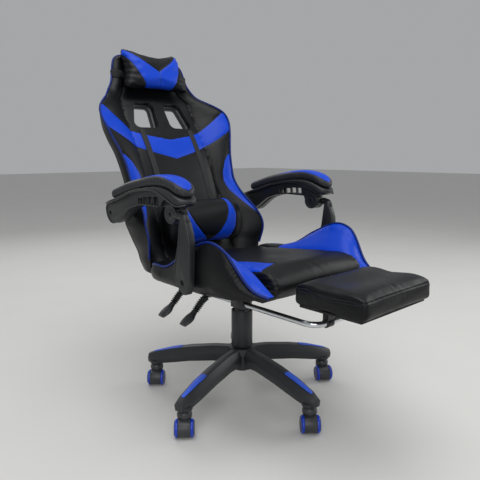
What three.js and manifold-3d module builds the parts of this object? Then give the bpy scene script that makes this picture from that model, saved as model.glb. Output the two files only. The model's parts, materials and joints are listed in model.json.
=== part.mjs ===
// A reclining gaming chair with a flip-over footrest, in millimetres, +Z up.
// The seated person faces -Y, so the chair's left side is +X. The part's origin is on the floor,
// under the middle of the chair's outline with the footrest out and the back at rest.
import * as THREE from "three";
import { mergeVertices } from "three/addons/utils/BufferGeometryUtils.js";
import Module from "manifold-3d";

const wasm = await Module();
wasm.setup();

// Driving dimensions
const gap = 0.3; // clearance between touching pieces
const columnPlace = [6.89, -14.5]; // the column's axis in the part's frame (x, y)

const stemCircle = 310; // radius of the circle through the caster stems
const firstArmAngle = 50.95; // degrees, direction of the first base arm
const armCount = 5;
const casterTrailAngles = [205, 226, 230, 228, 236]; // where each caster trails, degrees

const wheelRadius = 26;
const wheelWidth = 9.5;
const hoodHalfWidth = 18;
const casterTrail = 18; // stem axis to wheel axle
const stemRadius = 5.5;
const stemTop = 100;

const hubRadius = 44;
const hubBottom = 96;
const hubTop = 166;
const cylinderRadius = 25;
const pistonRadius = 14;
const coverRadius = 32;
const coverBottom = 172;
const coverTop = 292;

const panBottom = 395;
const panTop = 413.5;
const seatBottom = 415;
const seatHalfWidth = 200; // flat cushion between the bolsters
const bolsterOuter = 290;
const seatRear = 140;

const reclineHinge = [160, 435]; // (y, z) of the backrest's hinge
const postHinge = [-100, 455]; // (y, z) of the bolt at an armrest post's foot
const armHinge = [-54, 638]; // (y, z) of the pivot between post and arm
const rearBolt = [258, 618]; // (y, z) of the arm's rear bolt, at the backrest's side
const postInner = 293.5; // an armrest post's inner and outer faces (x)
const postOuter = 316.5;
const webInner = 275; // the arm's web (x)
const webOuter = 302;
const fasciaOuter = 323;
const flangeInner = 265.5; // the flange that carries the pad (x)
const flangeOuter = 328.5;
const padInner = 263;
const padOuter = 333;
const pivotDiscRadius = 27;

const backLean = 27; // degrees from vertical, at the two pass-through windows
const railX = 125; // footrest rails
const railZ = 366;
const railRadius = 8;
const railRear = 70;
const railFront = -412;
const railBend = 32;
const railTravel = 130;
const guideFront = railFront + railBend + railTravel + 6; // the rails' bend stops short of the guides
const guideRear = -100;

// Materials
const finish = (color, roughness, metalness = 0) =>
  new THREE.MeshStandardMaterial({ color, roughness, metalness });
const looks = {
  nylon: () => finish(0x2a2c2f, 0.55),
  blackLeather: () => finish(0x1b1c1f, 0.5),
  blueLeather: () => finish(0x1c50dc, 0.5),
  blueInlay: () => finish(0x2a5be0, 0.7),
  chrome: () => finish(0xd8dadd, 0.12, 1),
  blackSteel: () => finish(0x161718, 0.4, 0.6),
  tread: () => finish(0x1746c8, 0.35),
  board: () => finish(0x6e5a42, 0.8),
};

// Shape helpers
const toRadians = THREE.MathUtils.degToRad;

// A three.js geometry as a manifold solid, and back.
function solidOf(geometry) {
  const bare = geometry.index ? geometry.toNonIndexed() : geometry.clone();
  bare.deleteAttribute("normal");
  bare.deleteAttribute("uv");
  const merged = mergeVertices(bare, 1e-3);
  return new wasm.Manifold(
    new wasm.Mesh({
      numProp: 3,
      vertProperties: merged.attributes.position.array,
      triVerts: new Uint32Array(merged.index.array),
    }),
  );
}

function geometryOf(solid) {
  const mesh = solid.getMesh();
  const geometry = new THREE.BufferGeometry();
  geometry.setAttribute("position", new THREE.BufferAttribute(mesh.vertProperties, 3));
  geometry.setIndex(new THREE.BufferAttribute(mesh.triVerts, 1));
  return geometry;
}

const joined = (first, ...others) =>
  geometryOf(others.reduce((sum, next) => sum.add(solidOf(next)), solidOf(first)));

const cutBy = (first, ...tools) =>
  geometryOf(tools.reduce((left, tool) => left.subtract(solidOf(tool)), solidOf(first)));

function shapeOf(points, holes = []) {
  const shape = new THREE.Shape(points.map(([a, b]) => new THREE.Vector2(a, b)));
  shape.holes = holes.map((hole) => new THREE.Path(hole.map(([a, b]) => new THREE.Vector2(a, b))));
  return shape;
}

const plainExtrude = (shape, depth, curveSegments = 8) =>
  new THREE.ExtrudeGeometry(shape, { depth, bevelEnabled: false, curveSegments });

// An outline of (y, z) points pushed along X from low to high.
function alongX(points, low, high, holes) {
  const turn = new THREE.Matrix4().set(0, 0, 1, low, 1, 0, 0, 0, 0, 1, 0, 0, 0, 0, 0, 1);
  return plainExtrude(shapeOf(points, holes), high - low).applyMatrix4(turn);
}

// An outline of (x, z) points pushed along Y from low to high.
function alongY(points, low, high) {
  const turn = new THREE.Matrix4().set(1, 0, 0, 0, 0, 0, -1, high, 0, 1, 0, 0, 0, 0, 0, 1);
  return plainExtrude(shapeOf(points), high - low).applyMatrix4(turn);
}

// An outline of (x, y) points pushed up from low to high.
const alongZ = (points, low, high, holes) =>
  plainExtrude(shapeOf(points, holes), high - low).translate(0, 0, low);

function block(low, high) {
  const size = high.map((value, i) => value - low[i]);
  const middle = high.map((value, i) => (value + low[i]) / 2);
  return new THREE.BoxGeometry(...size).translate(...middle);
}

const rodX = (radius, y, z, low, high, sides = 20) =>
  new THREE.CylinderGeometry(radius, radius, high - low, sides)
    .rotateZ(Math.PI / 2)
    .translate((low + high) / 2, y, z);

const rodZ = (radius, x, y, low, high, sides = 24) =>
  new THREE.CylinderGeometry(radius, radius, high - low, sides)
    .rotateX(Math.PI / 2)
    .translate(x, y, (low + high) / 2);

// A body of revolution about Z from (radius, height) points.
const turned = (profile, sides = 28) =>
  new THREE.LatheGeometry(
    profile.map(([r, z]) => new THREE.Vector2(r, z)),
    sides,
  ).rotateX(Math.PI / 2);

// Points on an arc, for outlines; angles in degrees.
const arc = (cx, cy, radius, from, to, count) =>
  Array.from({ length: count + 1 }, (_, i) => {
    const angle = toRadians(from + ((to - from) * i) / count);
    return [cx + radius * Math.cos(angle), cy + radius * Math.sin(angle)];
  });

// A closed skin through rings of [x, y, z] points; every ring has as many points as the first.
function loft(rings) {
  const sides = rings[0].length;
  const positions = rings.flat(2);
  const triangles = [];
  for (let r = 0; r + 1 < rings.length; r++) {
    for (let i = 0; i < sides; i++) {
      const a = r * sides + i;
      const b = r * sides + ((i + 1) % sides);
      triangles.push(a, b, b + sides, a, b + sides, a + sides);
    }
  }
  const flat = (ring) => ring.map(([x, y]) => new THREE.Vector2(x, y));
  const cap = (start, isFirst, outline) => {
    const flip = isFirst !== THREE.ShapeUtils.isClockWise(outline);
    for (const [a, b, c] of THREE.ShapeUtils.triangulateShape(outline, [])) {
      triangles.push(...(flip ? [start + a, start + c, start + b] : [start + a, start + b, start + c]));
    }
  };
  const last = rings.length - 1;
  const plane = isUpright(rings[0]) ? flat : (ring) => ring.map(([, y, z]) => new THREE.Vector2(y, z));
  cap(0, true, plane(rings[0]));
  cap(last * sides, false, plane(rings[last]));
  const geometry = new THREE.BufferGeometry();
  geometry.setAttribute("position", new THREE.Float32BufferAttribute(positions, 3));
  geometry.setIndex(triangles);
  return geometry;
}

// True when a ring lies level, so that its cap is cut in x and y.
const isUpright = (ring) => ring.every(([, , z]) => Math.abs(z - ring[0][2]) < 1e-6);

function addPart(group, name, geometry, material) {
  const mesh = new THREE.Mesh(geometry, material);
  mesh.name = name;
  group.add(mesh);
  return mesh;
}

// Five-arm base
// Sections of an arm: distance out, half widths at the foot, shoulder and ridge, and their heights.
const armSections = [
  [18, 20, 24, 12, 108, 140, 165],
  [95, 20, 25, 12, 110, 138, 161],
  [180, 21, 27, 13.5, 100, 126, 149],
  [250, 21, 27, 14, 87, 112, 134],
  [315, 18, 23, 11, 75, 98, 115],
  [337, 12, 15, 7, 79, 95, 106],
];

function baseArm() {
  return loft(
    armSections.map(([out, foot, shoulder, ridge, low, middle, high]) => [
      [out, -foot, low],
      [out, foot, low],
      [out, shoulder, middle],
      [out, ridge, high],
      [out, -ridge, high],
      [out, -shoulder, middle],
    ]),
  );
}

// The textured inlay on an arm's ridge, following the ridge between two distances.
function armInlay() {
  const from = 212;
  const to = 318;
  const thickness = 1.6;
  const ridgeAt = (out) => {
    const next = armSections.findIndex((section) => section[0] >= out);
    const [low, high] = [armSections[next - 1], armSections[next]];
    const share = (out - low[0]) / (high[0] - low[0]);
    return low[6] + share * (high[6] - low[6]);
  };
  const stations = [
    [from, 9],
    [from + 8, 12],
    [250, 11],
    [to - 6, 6.5],
    [to, 4],
  ];
  return loft(
    stations.map(([out, half]) => {
      const low = ridgeAt(out) + gap;
      return [
        [out, -half, low],
        [out, half, low],
        [out, half, low + thickness],
        [out, -half, low + thickness],
      ];
    }),
  );
}

function baseStar() {
  let star = solidOf(rodZ(hubRadius, 0, 0, hubBottom, hubTop, 30));
  for (let i = 0; i < armCount; i++) {
    const angle = toRadians(firstArmAngle + (360 / armCount) * i);
    star = star.add(solidOf(baseArm().rotateZ(angle)));
  }
  star = star.subtract(solidOf(rodZ(cylinderRadius + gap, 0, 0, 0, 300, 28)));
  for (let i = 0; i < armCount; i++) {
    const angle = toRadians(firstArmAngle + (360 / armCount) * i);
    const [x, y] = [stemCircle * Math.cos(angle), stemCircle * Math.sin(angle)];
    star = star.subtract(solidOf(rodZ(stemRadius + gap, x, y, 0, stemTop + gap, 16)));
  }
  return geometryOf(star);
}

// Casters, in their own frame: stem axis at the origin, trailing towards +X ---------------
function casterHood() {
  const axle = [casterTrail, wheelRadius];
  const outline = [
    ...arc(...axle, 25, -48, 120, 12),
    [-14, 54],
    [-14, 40],
    ...arc(...axle, 25, 182, 228, 3),
  ];
  const hood = alongY(outline, -hoodHalfWidth, hoodHalfWidth);
  const collar = rodZ(15, 0, 0, 44, 73, 20);
  const bore = new THREE.CylinderGeometry(3 + gap, 3 + gap, 60, 12).translate(axle[0], 0, axle[1]);
  const stemHole = rodZ(stemRadius + gap, 0, 0, 52, 90, 16);
  return cutBy(joined(hood, collar), bore, stemHole);
}

function casterWheels() {
  const inner = hoodHalfWidth + gap;
  const outer = inner + wheelWidth;
  const half = [
    [3, inner],
    [wheelRadius, inner],
    [wheelRadius, outer - 3],
    [wheelRadius - 5, outer],
    [0, outer],
  ];
  const mirrored = half.map(([r, z]) => [r, -z]).reverse();
  return turned([...mirrored, ...half], 24).rotateX(Math.PI / 2).translate(casterTrail, 0, wheelRadius);
}

function addCasters(chair) {
  for (let i = 0; i < armCount; i++) {
    const armAngle = toRadians(firstArmAngle + (360 / armCount) * i);
    const caster = new THREE.Group();
    caster.position.set(stemCircle * Math.cos(armAngle), stemCircle * Math.sin(armAngle), 0);
    caster.rotation.z = toRadians(casterTrailAngles[i]);
    const number = i + 1;
    addPart(caster, "caster_stem_" + number, rodZ(stemRadius, 0, 0, 52 + gap, stemTop, 16), looks.chrome());
    addPart(caster, "caster_hood_" + number, casterHood(), looks.nylon());
    addPart(caster, "caster_wheels_" + number, casterWheels(), looks.tread());
    chair.add(caster);
  }
}

// Gas lift and its telescopic cover
function addGasLift(chair) {
  const cylinder = turned([
    [0, hubBottom - 10],
    [cylinderRadius, hubBottom - 10],
    [cylinderRadius, coverTop - 4],
    [pistonRadius + gap, coverTop - 4],
    [pistonRadius + gap, hubBottom + 15],
    [0, hubBottom + 15],
  ]);
  addPart(chair, "gas_cylinder", cylinder, looks.blackSteel());
  addPart(chair, "gas_piston", rodZ(pistonRadius, 0, 0, hubBottom + 30, 340), looks.chrome());
  const sleeve = (outer, inner, low, high) =>
    turned([
      [inner, low],
      [outer, low],
      [outer, high],
      [inner, high],
      [inner, low],
    ]);
  const lower = sleeve(coverRadius - 2.5, cylinderRadius + 2, hubTop + gap, coverTop - 10);
  const upper = sleeve(coverRadius, coverRadius - 2, coverBottom, coverTop);
  addPart(chair, "lift_cover_lower", lower, looks.nylon());
  addPart(chair, "lift_cover_upper", upper, looks.nylon());
}

// Mechanism under the seat
const plateHalf = 100;

function addMechanism(chair) {
  const wall = 4;
  const [front, rear, foot, top] = [-125, 95, 352, panBottom - gap];
  const pressing = cutBy(
    block([-plateHalf, front, foot], [plateHalf, rear, top]),
    block([wall - plateHalf, front + wall, foot - wall], [plateHalf - wall, rear - wall, top - wall]),
  );
  const boss = rodZ(42, 0, 0, foot, top - 1);
  const socket = turned([
    [0, coverTop + 6],
    [34, coverTop + 6],
    [42, 352.5],
    [0, 352.5],
  ]);
  const bore = rodZ(pistonRadius + gap, 0, 0, 0, 340 + gap);
  const mechanism = cutBy(joined(pressing, boss, socket), bore);
  addPart(chair, "seat_mechanism", mechanism, looks.blackSteel());
  addPart(chair, "seat_pan", block([-150, -245, panBottom], [150, 135, panTop]), looks.board());
}

const leverRodZ = 384;
const leverRodEnd = -200;

// A lever: a thin rod out of the mechanism's side, then a drooping grip with a flat paddle.
function addLever(chair, name, y) {
  const rod = rodX(3.5, y, leverRodZ, leverRodEnd, -plateHalf - gap, 12);
  addPart(chair, name + "_rod", rod, looks.chrome());
  const stations = [
    [leverRodEnd - gap, leverRodZ, 7, 7],
    [-222, 374, 8, 7],
    [-240, 356, 6.5, 6],
    [-256, 341, 10, 4.5],
    [-284, 322, 13, 4],
    [-290, 318, 9, 3],
  ];
  const sides = 10;
  const rings = stations.map(([x, z, halfWide, halfThick]) =>
    Array.from({ length: sides }, (_, i) => {
      const angle = (-2 * Math.PI * i) / sides;
      const up = halfThick * Math.sin(angle);
      return [x, y + halfWide * Math.cos(angle), z + up];
    }),
  );
  addPart(chair, name + "_grip", loft(rings), looks.nylon());
}

// Seat
function addSeat(chair) {
  const cushion = [
    [seatRear, seatBottom],
    [seatRear, 462],
    [100, 468],
    [-220, 497],
    [-290, 494],
    [-322, 470],
    [-325, 440],
    [-305, seatBottom + 5],
    [-290, seatBottom],
  ];
  addPart(
    chair,
    "seat_cushion",
    alongX([...cushion].reverse(), -seatHalfWidth, seatHalfWidth),
    looks.blackLeather(),
  );
  const bolster = [
    [seatRear, seatBottom],
    [-250, seatBottom],
    [-290, 432],
    [-290, 460],
    [-254, 530],
    [-225, 561],
    [-170, 576],
    [-114, 558],
    [-50, 526],
    [65, 472],
    [seatRear, 464],
  ];
  const sides = { left: 1, right: -1 };
  for (const [side, sign] of Object.entries(sides)) {
    const half = new THREE.Group();
    half.scale.x = sign;
    const solid = alongX([...bolster].reverse(), seatHalfWidth + gap, bolsterOuter);
    addPart(half, "seat_bolster_" + side, solid, looks.blackLeather());
    chair.add(half);
  }
}

// Recline hinge
function addReclineHinge(chair) {
  const [hingeY, hingeZ] = reclineHinge;
  const shaftRadius = 6;
  const lugRadius = 11;
  addPart(chair, "recline_shaft", rodX(shaftRadius, hingeY, hingeZ, -196, 196, 16), looks.blackSteel());
  // The bracket leans back to the pin, clear of the backrest's foot as it swings.
  const bracket = [
    [60, panBottom - 16],
    [136, panBottom - 16],
    ...arc(hingeY, hingeZ, lugRadius, -70, 180, 10),
    [hingeY - lugRadius, 420],
    [hingeY - 20, 412],
    [130, panBottom - gap],
    [60, panBottom - gap],
  ];
  const lug = [
    ...arc(hingeY, hingeZ, lugRadius, 90, 270, 8),
    [hingeY + 14.5, hingeZ - lugRadius],
    [hingeY + 14.5, hingeZ + lugRadius],
  ];
  const bore = () => rodX(shaftRadius + gap, hingeY, hingeZ, 100, 250, 16);
  for (const [side, sign] of [["left", 1], ["right", -1]]) {
    const half = new THREE.Group();
    half.scale.x = sign;
    addPart(half, "recline_bracket_" + side, cutBy(alongX(bracket, 170, 176), bore()), looks.blackSteel());
    addPart(half, "back_hinge_lug_" + side, cutBy(alongX(lug, 177, 183), bore()), looks.blackSteel());
    chair.add(half);
  }
}

// Backrest
// Level sections of the back: height, half width, then y of the wing's front edge, of the centre
// panel's face, of the side's rear edge and of the middle's rear face.
const backSections = [
  [403, 205, 176, 178, 196, 212],
  [425, 236, 176, 180, 226, 250],
  [480, 243, 167, 228, 246, 290],
  [515, 250, 157, 240, 268, 305],
  [545, 253, 158, 252, 292, 318],
  [572, 251, 171, 263, 304, 328],
  [600, 243, 192, 275, 312, 338],
  [632, 232, 228, 289, 320, 350],
  [665, 226, 262, 302, 328, 362],
  [700, 224, 291, 316, 340, 376],
  [750, 228, 310, 338, 360, 398],
  [800, 238, 329, 364, 384, 424],
  [850, 254, 348, 394, 414, 438],
  [900, 271, 367, 428, 440, 466],
  [935, 278, 386, 450, 458, 486],
  [962, 267, 400, 466, 470, 501],
  [990, 231, 437, 480, 490, 516],
  [1020, 192, 485, 503, 520, 542],
  [1050, 169, 503, 514, 540, 562],
  [1110, 153, 521, 530, 562, 594],
  [1135, 145, 528, 538, 572, 600],
  [1157, 118, 536, 546, 578, 600],
];

// A pass-through window's corners beside the centre line, as (x, distance up the leaning back).
const windowHeight = 928; // height of the windows' middle
const windowFace = 462; // y of the panel's face there
const windowCorners = [
  [38, -40],
  [113, -40],
  [86, 38],
  [35, 38],
];

function windowTool(grow, front, rear) {
  const middle = [68, -1];
  const corners = windowCorners.map(([x, up]) => [
    x + Math.sign(x - middle[0]) * grow,
    up + Math.sign(up - middle[1]) * grow,
  ]);
  return alongY(corners, front, rear).rotateX(toRadians(-backLean)).translate(0, windowFace, windowHeight);
}

function backShell() {
  const rings = backSections.map(([z, half, wing, panel, sideRear, rear]) => {
    const inner = Math.max(half - 90, half * 0.35);
    const bevel = 38;
    return [
      [half, wing, z],
      [half, sideRear, z],
      [half - bevel, rear, z],
      [bevel - half, rear, z],
      [-half, sideRear, z],
      [-half, wing, z],
      [-inner, panel, z],
      [inner, panel, z],
    ];
  });
  const bezelHole = windowTool(9 + gap, -160, 160);
  return cutBy(loft(rings), bezelHole, mirrorX(bezelHole));
}

// The same shape on the other side of the middle plane, with its faces still pointing out.
function mirrorX(geometry) {
  const copy = (geometry.index ? geometry.toNonIndexed() : geometry.clone()).scale(-1, 1, 1);
  const places = copy.attributes.position;
  const swapped = [];
  for (let i = 0; i < places.count; i += 3) {
    for (const j of [i, i + 2, i + 1]) swapped.push(places.getX(j), places.getY(j), places.getZ(j));
  }
  const mirrored = new THREE.BufferGeometry();
  mirrored.setAttribute("position", new THREE.Float32BufferAttribute(swapped, 3));
  return mirrored;
}

function addBack(chair) {
  addPart(chair, "back_shell", backShell(), looks.blackLeather());
  for (const [side, sign] of [["left", 1], ["right", -1]]) {
    const half = new THREE.Group();
    half.scale.x = sign;
    const bezel = cutBy(windowTool(9, -6, 32), windowTool(0, -40, 80));
    addPart(half, "window_bezel_" + side, bezel, looks.nylon());
    chair.add(half);
  }
  const pillow = [
    [460, 1022],
    [446, 1040],
    [440, 1075],
    [442, 1115],
    [462, 1155],
    [500, 1180],
    [522, 1182],
    [516, 1130],
    [498, 1075],
    [486, 1032],
  ];
  addPart(chair, "head_pillow", alongX([...pillow].reverse(), -130, 130), looks.blueLeather());
  const lumbar = [
    [176, 492],
    [160, 515],
    [156, 555],
    [164, 610],
    [188, 646],
    [222, 655],
    [262, 634],
    [240, 560],
    [222, 500],
  ];
  addPart(chair, "lumbar_pillow", alongX([...lumbar].reverse(), -165, 165), looks.blackLeather());
  addPart(chair, "head_strap", headStrap(), looks.blackLeather());
}

// The elastic strap that holds the head pillow, round the back of the head panel.
function headStrap() {
  const thickness = 2;
  const clear = 172;
  const [front, rear] = [512, 596];
  const outline = [
    [clear, front],
    [clear + thickness, front],
    [clear + thickness, rear + thickness],
    [-clear - thickness, rear + thickness],
    [-clear - thickness, front],
    [-clear, front],
    [-clear, rear],
    [clear, rear],
  ];
  return alongZ([...outline].reverse(), 1070, 1095);
}

// Armrests
// The pad's lower face as (y, z), front to rear; the flange and the pad follow it.
const padLine = [
  [-134, 666],
  [-110, 681],
  [-75, 698],
  [-30, 708],
  [20, 707],
  [85, 697],
  [150, 684],
  [220, 664],
  [250, 655.5],
  [285, 645],
];
const padThickness = 30;
const flangeThickness = 9;

const band = (line, low, high) => [
  ...line.map(([y, z]) => [y, z + low]),
  ...line.map(([y, z]) => [y, z + high]).reverse(),
];

function armBeam() {
  const web = [
    [-128, 660],
    [-84, 664],
    ...arc(...armHinge, pivotDiscRadius, 165, 350, 14),
    [-20, 654],
    [60, 655],
    [110, 650],
    [160, 636],
    [205, 606],
    [232, 588],
    [262, 586],
    [288, 612],
    [286, 642],
    ...[...padLine].reverse().map(([y, z]) => [y, z - flangeThickness + 2]),
  ];
  // The outer fascia, from above the pivot disc back to the bolt at the backrest.
  const fascia = [
    [288, 612],
    [290, 630],
    [286, 636],
    [220, 655],
    [150, 675],
    [85, 688],
    [20, 698],
    [-20, 696],
    [-38, 680],
    [-24, 668],
    [-18, 655],
    [60, 655],
    [110, 650],
    [160, 634],
    [205, 603],
    [232, 587],
    [262, 585],
  ];
  const windows = [0, 1, 2, 3, 4].map((i) => {
    const y = -24 + i * 27;
    const low = 662 - i * 0.6;
    return [
      [y - 9, low],
      [y - 7, low + 15],
      [y + 12, low + 15],
      [y + 9, low],
    ];
  });
  const webSolid = alongX(web, webInner, webOuter, windows);
  const fasciaSolid = alongX(fascia, webOuter - 1, fasciaOuter, windows.slice(1));
  const flange = alongX(band(padLine.slice(1), -flangeThickness, -gap), flangeInner, flangeOuter);
  const rearBoss = rodX(20, ...rearBolt, 247, 262, 20);
  const rearBlock = rodX(24, ...rearBolt, 261, webInner + 5, 20);
  const pivotBore = rodX(7 + gap, ...armHinge, 240, 340, 16);
  const solid = joined(webSolid, fasciaSolid, flange, rearBoss, rearBlock);
  return cutBy(solid, pivotBore, rodX(4, ...rearBolt, 305, 340, 12));
}

function armPost() {
  const column = [
    [-131, 450],
    [-136, 545],
    [-138, 632],
    [-90, 632],
    [-86, 560],
    [-78, 525],
    [-70, 496],
    [-72, 478],
    [-92, 446],
    [-112, 426],
    [-124, 428],
  ];
  const disc = rodX(pivotDiscRadius, ...armHinge, webOuter + gap, postOuter, 28);
  const neck = block([webOuter + gap, -106, 616], [postOuter, -66, 642]);
  const shaft = rodX(5 + gap, ...postHinge, 280, 340, 16);
  const recess = rodX(8, ...postHinge, 306, 340, 16);
  const pivotBore = rodX(7 + gap, ...armHinge, 240, 340, 16);
  const solid = joined(
    alongX([...column].reverse(), postInner, postOuter),
    disc,
    neck,
  );
  return cutBy(solid, shaft, recess, pivotBore);
}

function addArmrests(chair) {
  for (const [side, sign] of [["left", 1], ["right", -1]]) {
    const half = new THREE.Group();
    half.scale.x = sign;
    addPart(half, "armrest_beam_" + side, armBeam(), looks.nylon());
    addPart(half, "armrest_post_" + side, armPost(), looks.nylon());
    const pad = alongX(band(padLine.slice(0, -1), 0, padThickness), padInner, padOuter);
    addPart(half, "armrest_pad_" + side, pad, looks.blueLeather());
    const pivot = cutBy(
      rodX(7, ...armHinge, webInner, postOuter, 16),
      rodX(4, ...armHinge, webInner - 5, postOuter + 5, 12),
    );
    addPart(half, "armrest_pivot_" + side, pivot, looks.blackSteel());
    const bolt = joined(
      rodX(5, ...postHinge, bolsterOuter + gap, 308, 12),
      rodX(7.5, ...postHinge, 306.4, 312, 12),
    );
    addPart(half, "armrest_bolt_" + side, bolt, looks.blackSteel());
    chair.add(half);
  }
}

// Footrest
function railFrame() {
  const path = new THREE.CurvePath();
  const at = (x, y) => new THREE.Vector3(x, y, railZ);
  const bend = railBend * 0.45;
  const front = railFront;
  path.add(new THREE.LineCurve3(at(railX, railRear), at(railX, front + railBend)));
  path.add(
    new THREE.CubicBezierCurve3(
      at(railX, front + railBend),
      at(railX, front + bend),
      at(railX - bend, front),
      at(railX - railBend, front),
    ),
  );
  path.add(new THREE.LineCurve3(at(railX - railBend, front), at(railBend - railX, front)));
  path.add(
    new THREE.CubicBezierCurve3(
      at(railBend - railX, front),
      at(bend - railX, front),
      at(-railX, front + bend),
      at(-railX, front + railBend),
    ),
  );
  path.add(new THREE.LineCurve3(at(-railX, front + railBend), at(-railX, railRear)));
  const section = shapeOf(arc(0, 0, railRadius, 0, 324, 9));
  return new THREE.ExtrudeGeometry(section, { steps: 72, extrudePath: path });
}

function footrestGuides() {
  const low = railZ - railRadius - 5;
  const rails = [railX, -railX];
  const sleeves = rails.map((x) =>
    block([x - 13, guideFront, low], [x + 13, guideRear, panBottom - gap]),
  );
  const strap = block([-railX, guideFront, panBottom - 6], [railX, guideFront + 33, panBottom - gap]);
  const bores = rails.map((x) =>
    new THREE.CylinderGeometry(railRadius + gap, railRadius + gap, 400, 16).translate(x, -184, railZ),
  );
  return cutBy(joined(strap, ...sleeves), ...bores);
}

function footrestBracket() {
  const plate = block([-105, -450, 408], [105, -372, 413]);
  const lugs = [-75, 75].flatMap((x) => [
    rodX(12, railFront, railZ, x - 12, x + 12, 18),
    block([x - 12, railFront - 9, railZ + 9], [x + 12, railFront + 9, 409]),
  ]);
  return cutBy(joined(plate, ...lugs), rodX(railRadius + gap, railFront, railZ, -100, 100, 16));
}

function addFootrest(chair) {
  addPart(chair, "footrest_frame", railFrame(), looks.chrome());
  addPart(chair, "footrest_guides", footrestGuides(), looks.blackSteel());
  addPart(chair, "footrest_bracket", footrestBracket(), looks.blackSteel());
  addPart(chair, "footrest_board", block([-150, -563, 413 + gap], [150, -369, 419]), looks.board());
  addPart(chair, "footrest_pad", block([-160, -573, 419 + gap], [160, -359, 474]), looks.blackLeather());
}

// The chair
const chair = new THREE.Group();
chair.position.set(columnPlace[0], columnPlace[1], 0);
addPart(chair, "base_star", baseStar(), looks.nylon());
for (let i = 0; i < armCount; i++) {
  const inlay = addPart(chair, "base_inlay_" + (i + 1), armInlay(), looks.blueInlay());
  inlay.rotation.z = toRadians(firstArmAngle + (360 / armCount) * i);
}
addCasters(chair);
addGasLift(chair);
addMechanism(chair);
addLever(chair, "height_lever", -61);
addLever(chair, "recline_lever", 48);
addSeat(chair);
addReclineHinge(chair);
addBack(chair);
addArmrests(chair);
addFootrest(chair);

export default chair;
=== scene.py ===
import json
import math

import bpy
import numpy as np
from mathutils import Matrix, Vector


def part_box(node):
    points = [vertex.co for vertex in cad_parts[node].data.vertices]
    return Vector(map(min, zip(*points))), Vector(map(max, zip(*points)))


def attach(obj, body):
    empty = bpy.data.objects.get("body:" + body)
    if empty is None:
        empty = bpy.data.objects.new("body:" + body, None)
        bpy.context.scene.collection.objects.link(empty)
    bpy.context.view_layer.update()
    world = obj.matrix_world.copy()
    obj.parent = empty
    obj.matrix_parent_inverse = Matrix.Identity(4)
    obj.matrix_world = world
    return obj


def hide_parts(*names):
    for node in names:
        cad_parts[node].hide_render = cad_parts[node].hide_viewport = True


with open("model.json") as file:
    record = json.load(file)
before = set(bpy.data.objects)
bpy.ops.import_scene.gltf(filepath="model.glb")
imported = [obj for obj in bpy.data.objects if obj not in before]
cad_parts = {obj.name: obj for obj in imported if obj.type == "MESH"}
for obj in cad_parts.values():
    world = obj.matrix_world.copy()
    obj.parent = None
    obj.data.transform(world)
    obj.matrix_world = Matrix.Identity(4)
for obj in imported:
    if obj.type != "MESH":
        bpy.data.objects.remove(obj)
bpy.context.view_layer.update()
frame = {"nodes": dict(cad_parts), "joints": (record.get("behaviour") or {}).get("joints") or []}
pistonLow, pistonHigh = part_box("gas_piston")
column = np.array([(pistonLow.x + pistonHigh.x) / 2, (pistonLow.y + pistonHigh.y) / 2, 0.0])
print("frame loaded")


# small helpers: selection, meshes, curves
def deselectAll():
    for other in list(bpy.context.selected_objects):
        other.select_set(False)


def makeActive(piece):
    deselectAll()
    piece.select_set(True)
    bpy.context.view_layer.objects.active = piece


def applyModifiers(piece):
    makeActive(piece)
    for modifier in list(piece.modifiers):
        bpy.ops.object.modifier_apply(modifier=modifier.name)


def meshPiece(name, points, faces):
    # points are measured from the column's axis
    mesh = bpy.data.meshes.new(name)
    mesh.from_pydata((np.asarray(points, float) + column).tolist(), [], [list(f) for f in faces])
    mesh.update()
    piece = bpy.data.objects.new(name, mesh)
    bpy.context.scene.collection.objects.link(piece)
    return piece


def pointsOf(piece):
    flat = np.zeros(len(piece.data.vertices) * 3)
    piece.data.vertices.foreach_get("co", flat)
    return flat.reshape(-1, 3) - column


def setPoints(piece, points):
    piece.data.vertices.foreach_set("co", (points + column).ravel())
    piece.data.update()


def normalsOf(piece):
    flat = np.zeros(len(piece.data.vertices) * 3)
    piece.data.vertex_normals.foreach_get("vector", flat)
    return flat.reshape(-1, 3)


def tidyNormals(piece, doubles=1e-6):
    makeActive(piece)
    bpy.ops.object.mode_set(mode="EDIT")
    bpy.ops.mesh.select_all(action="SELECT")
    bpy.ops.mesh.remove_doubles(threshold=doubles)
    bpy.ops.mesh.normals_make_consistent(inside=False)
    bpy.ops.object.mode_set(mode="OBJECT")


def smooth(piece, angle=40):
    makeActive(piece)
    bpy.ops.object.shade_smooth_by_angle(angle=math.radians(angle))


def through(knots, values, at):
    # a smooth curve through the knots, read at the given places
    knots, values = np.asarray(knots, float), np.asarray(values, float)
    slopes = np.gradient(values, knots)
    i = np.clip(np.searchsorted(knots, at) - 1, 0, len(knots) - 2)
    step = knots[i + 1] - knots[i]
    t = np.clip((at - knots[i]) / step, 0, 1)
    return ((2 * t**3 - 3 * t**2 + 1) * values[i] + (t**3 - 2 * t**2 + t) * step * slopes[i]
            + (3 * t**2 - 2 * t**3) * values[i + 1] + (t**3 - t**2) * step * slopes[i + 1])


def evenPath(points, count, closed=False):
    # the points joined by a smooth line and stepped off evenly
    points = np.asarray(points, float)
    apart = np.linalg.norm(points - np.roll(points, 1, axis=0), axis=1) > 1e-7
    apart[0] = apart[0] or not closed
    points = points[apart]
    if closed:
        points = np.vstack([points[-2:], points, points[:3]])
    along = np.concatenate([[0], np.cumsum(np.linalg.norm(np.diff(points, axis=0), axis=1))])
    low, high = (along[2], along[-3]) if closed else (0, along[-1])
    at = np.linspace(low, high, count, endpoint=not closed)
    return np.stack([through(along, points[:, k], at) for k in range(points.shape[1])], axis=1)


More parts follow.
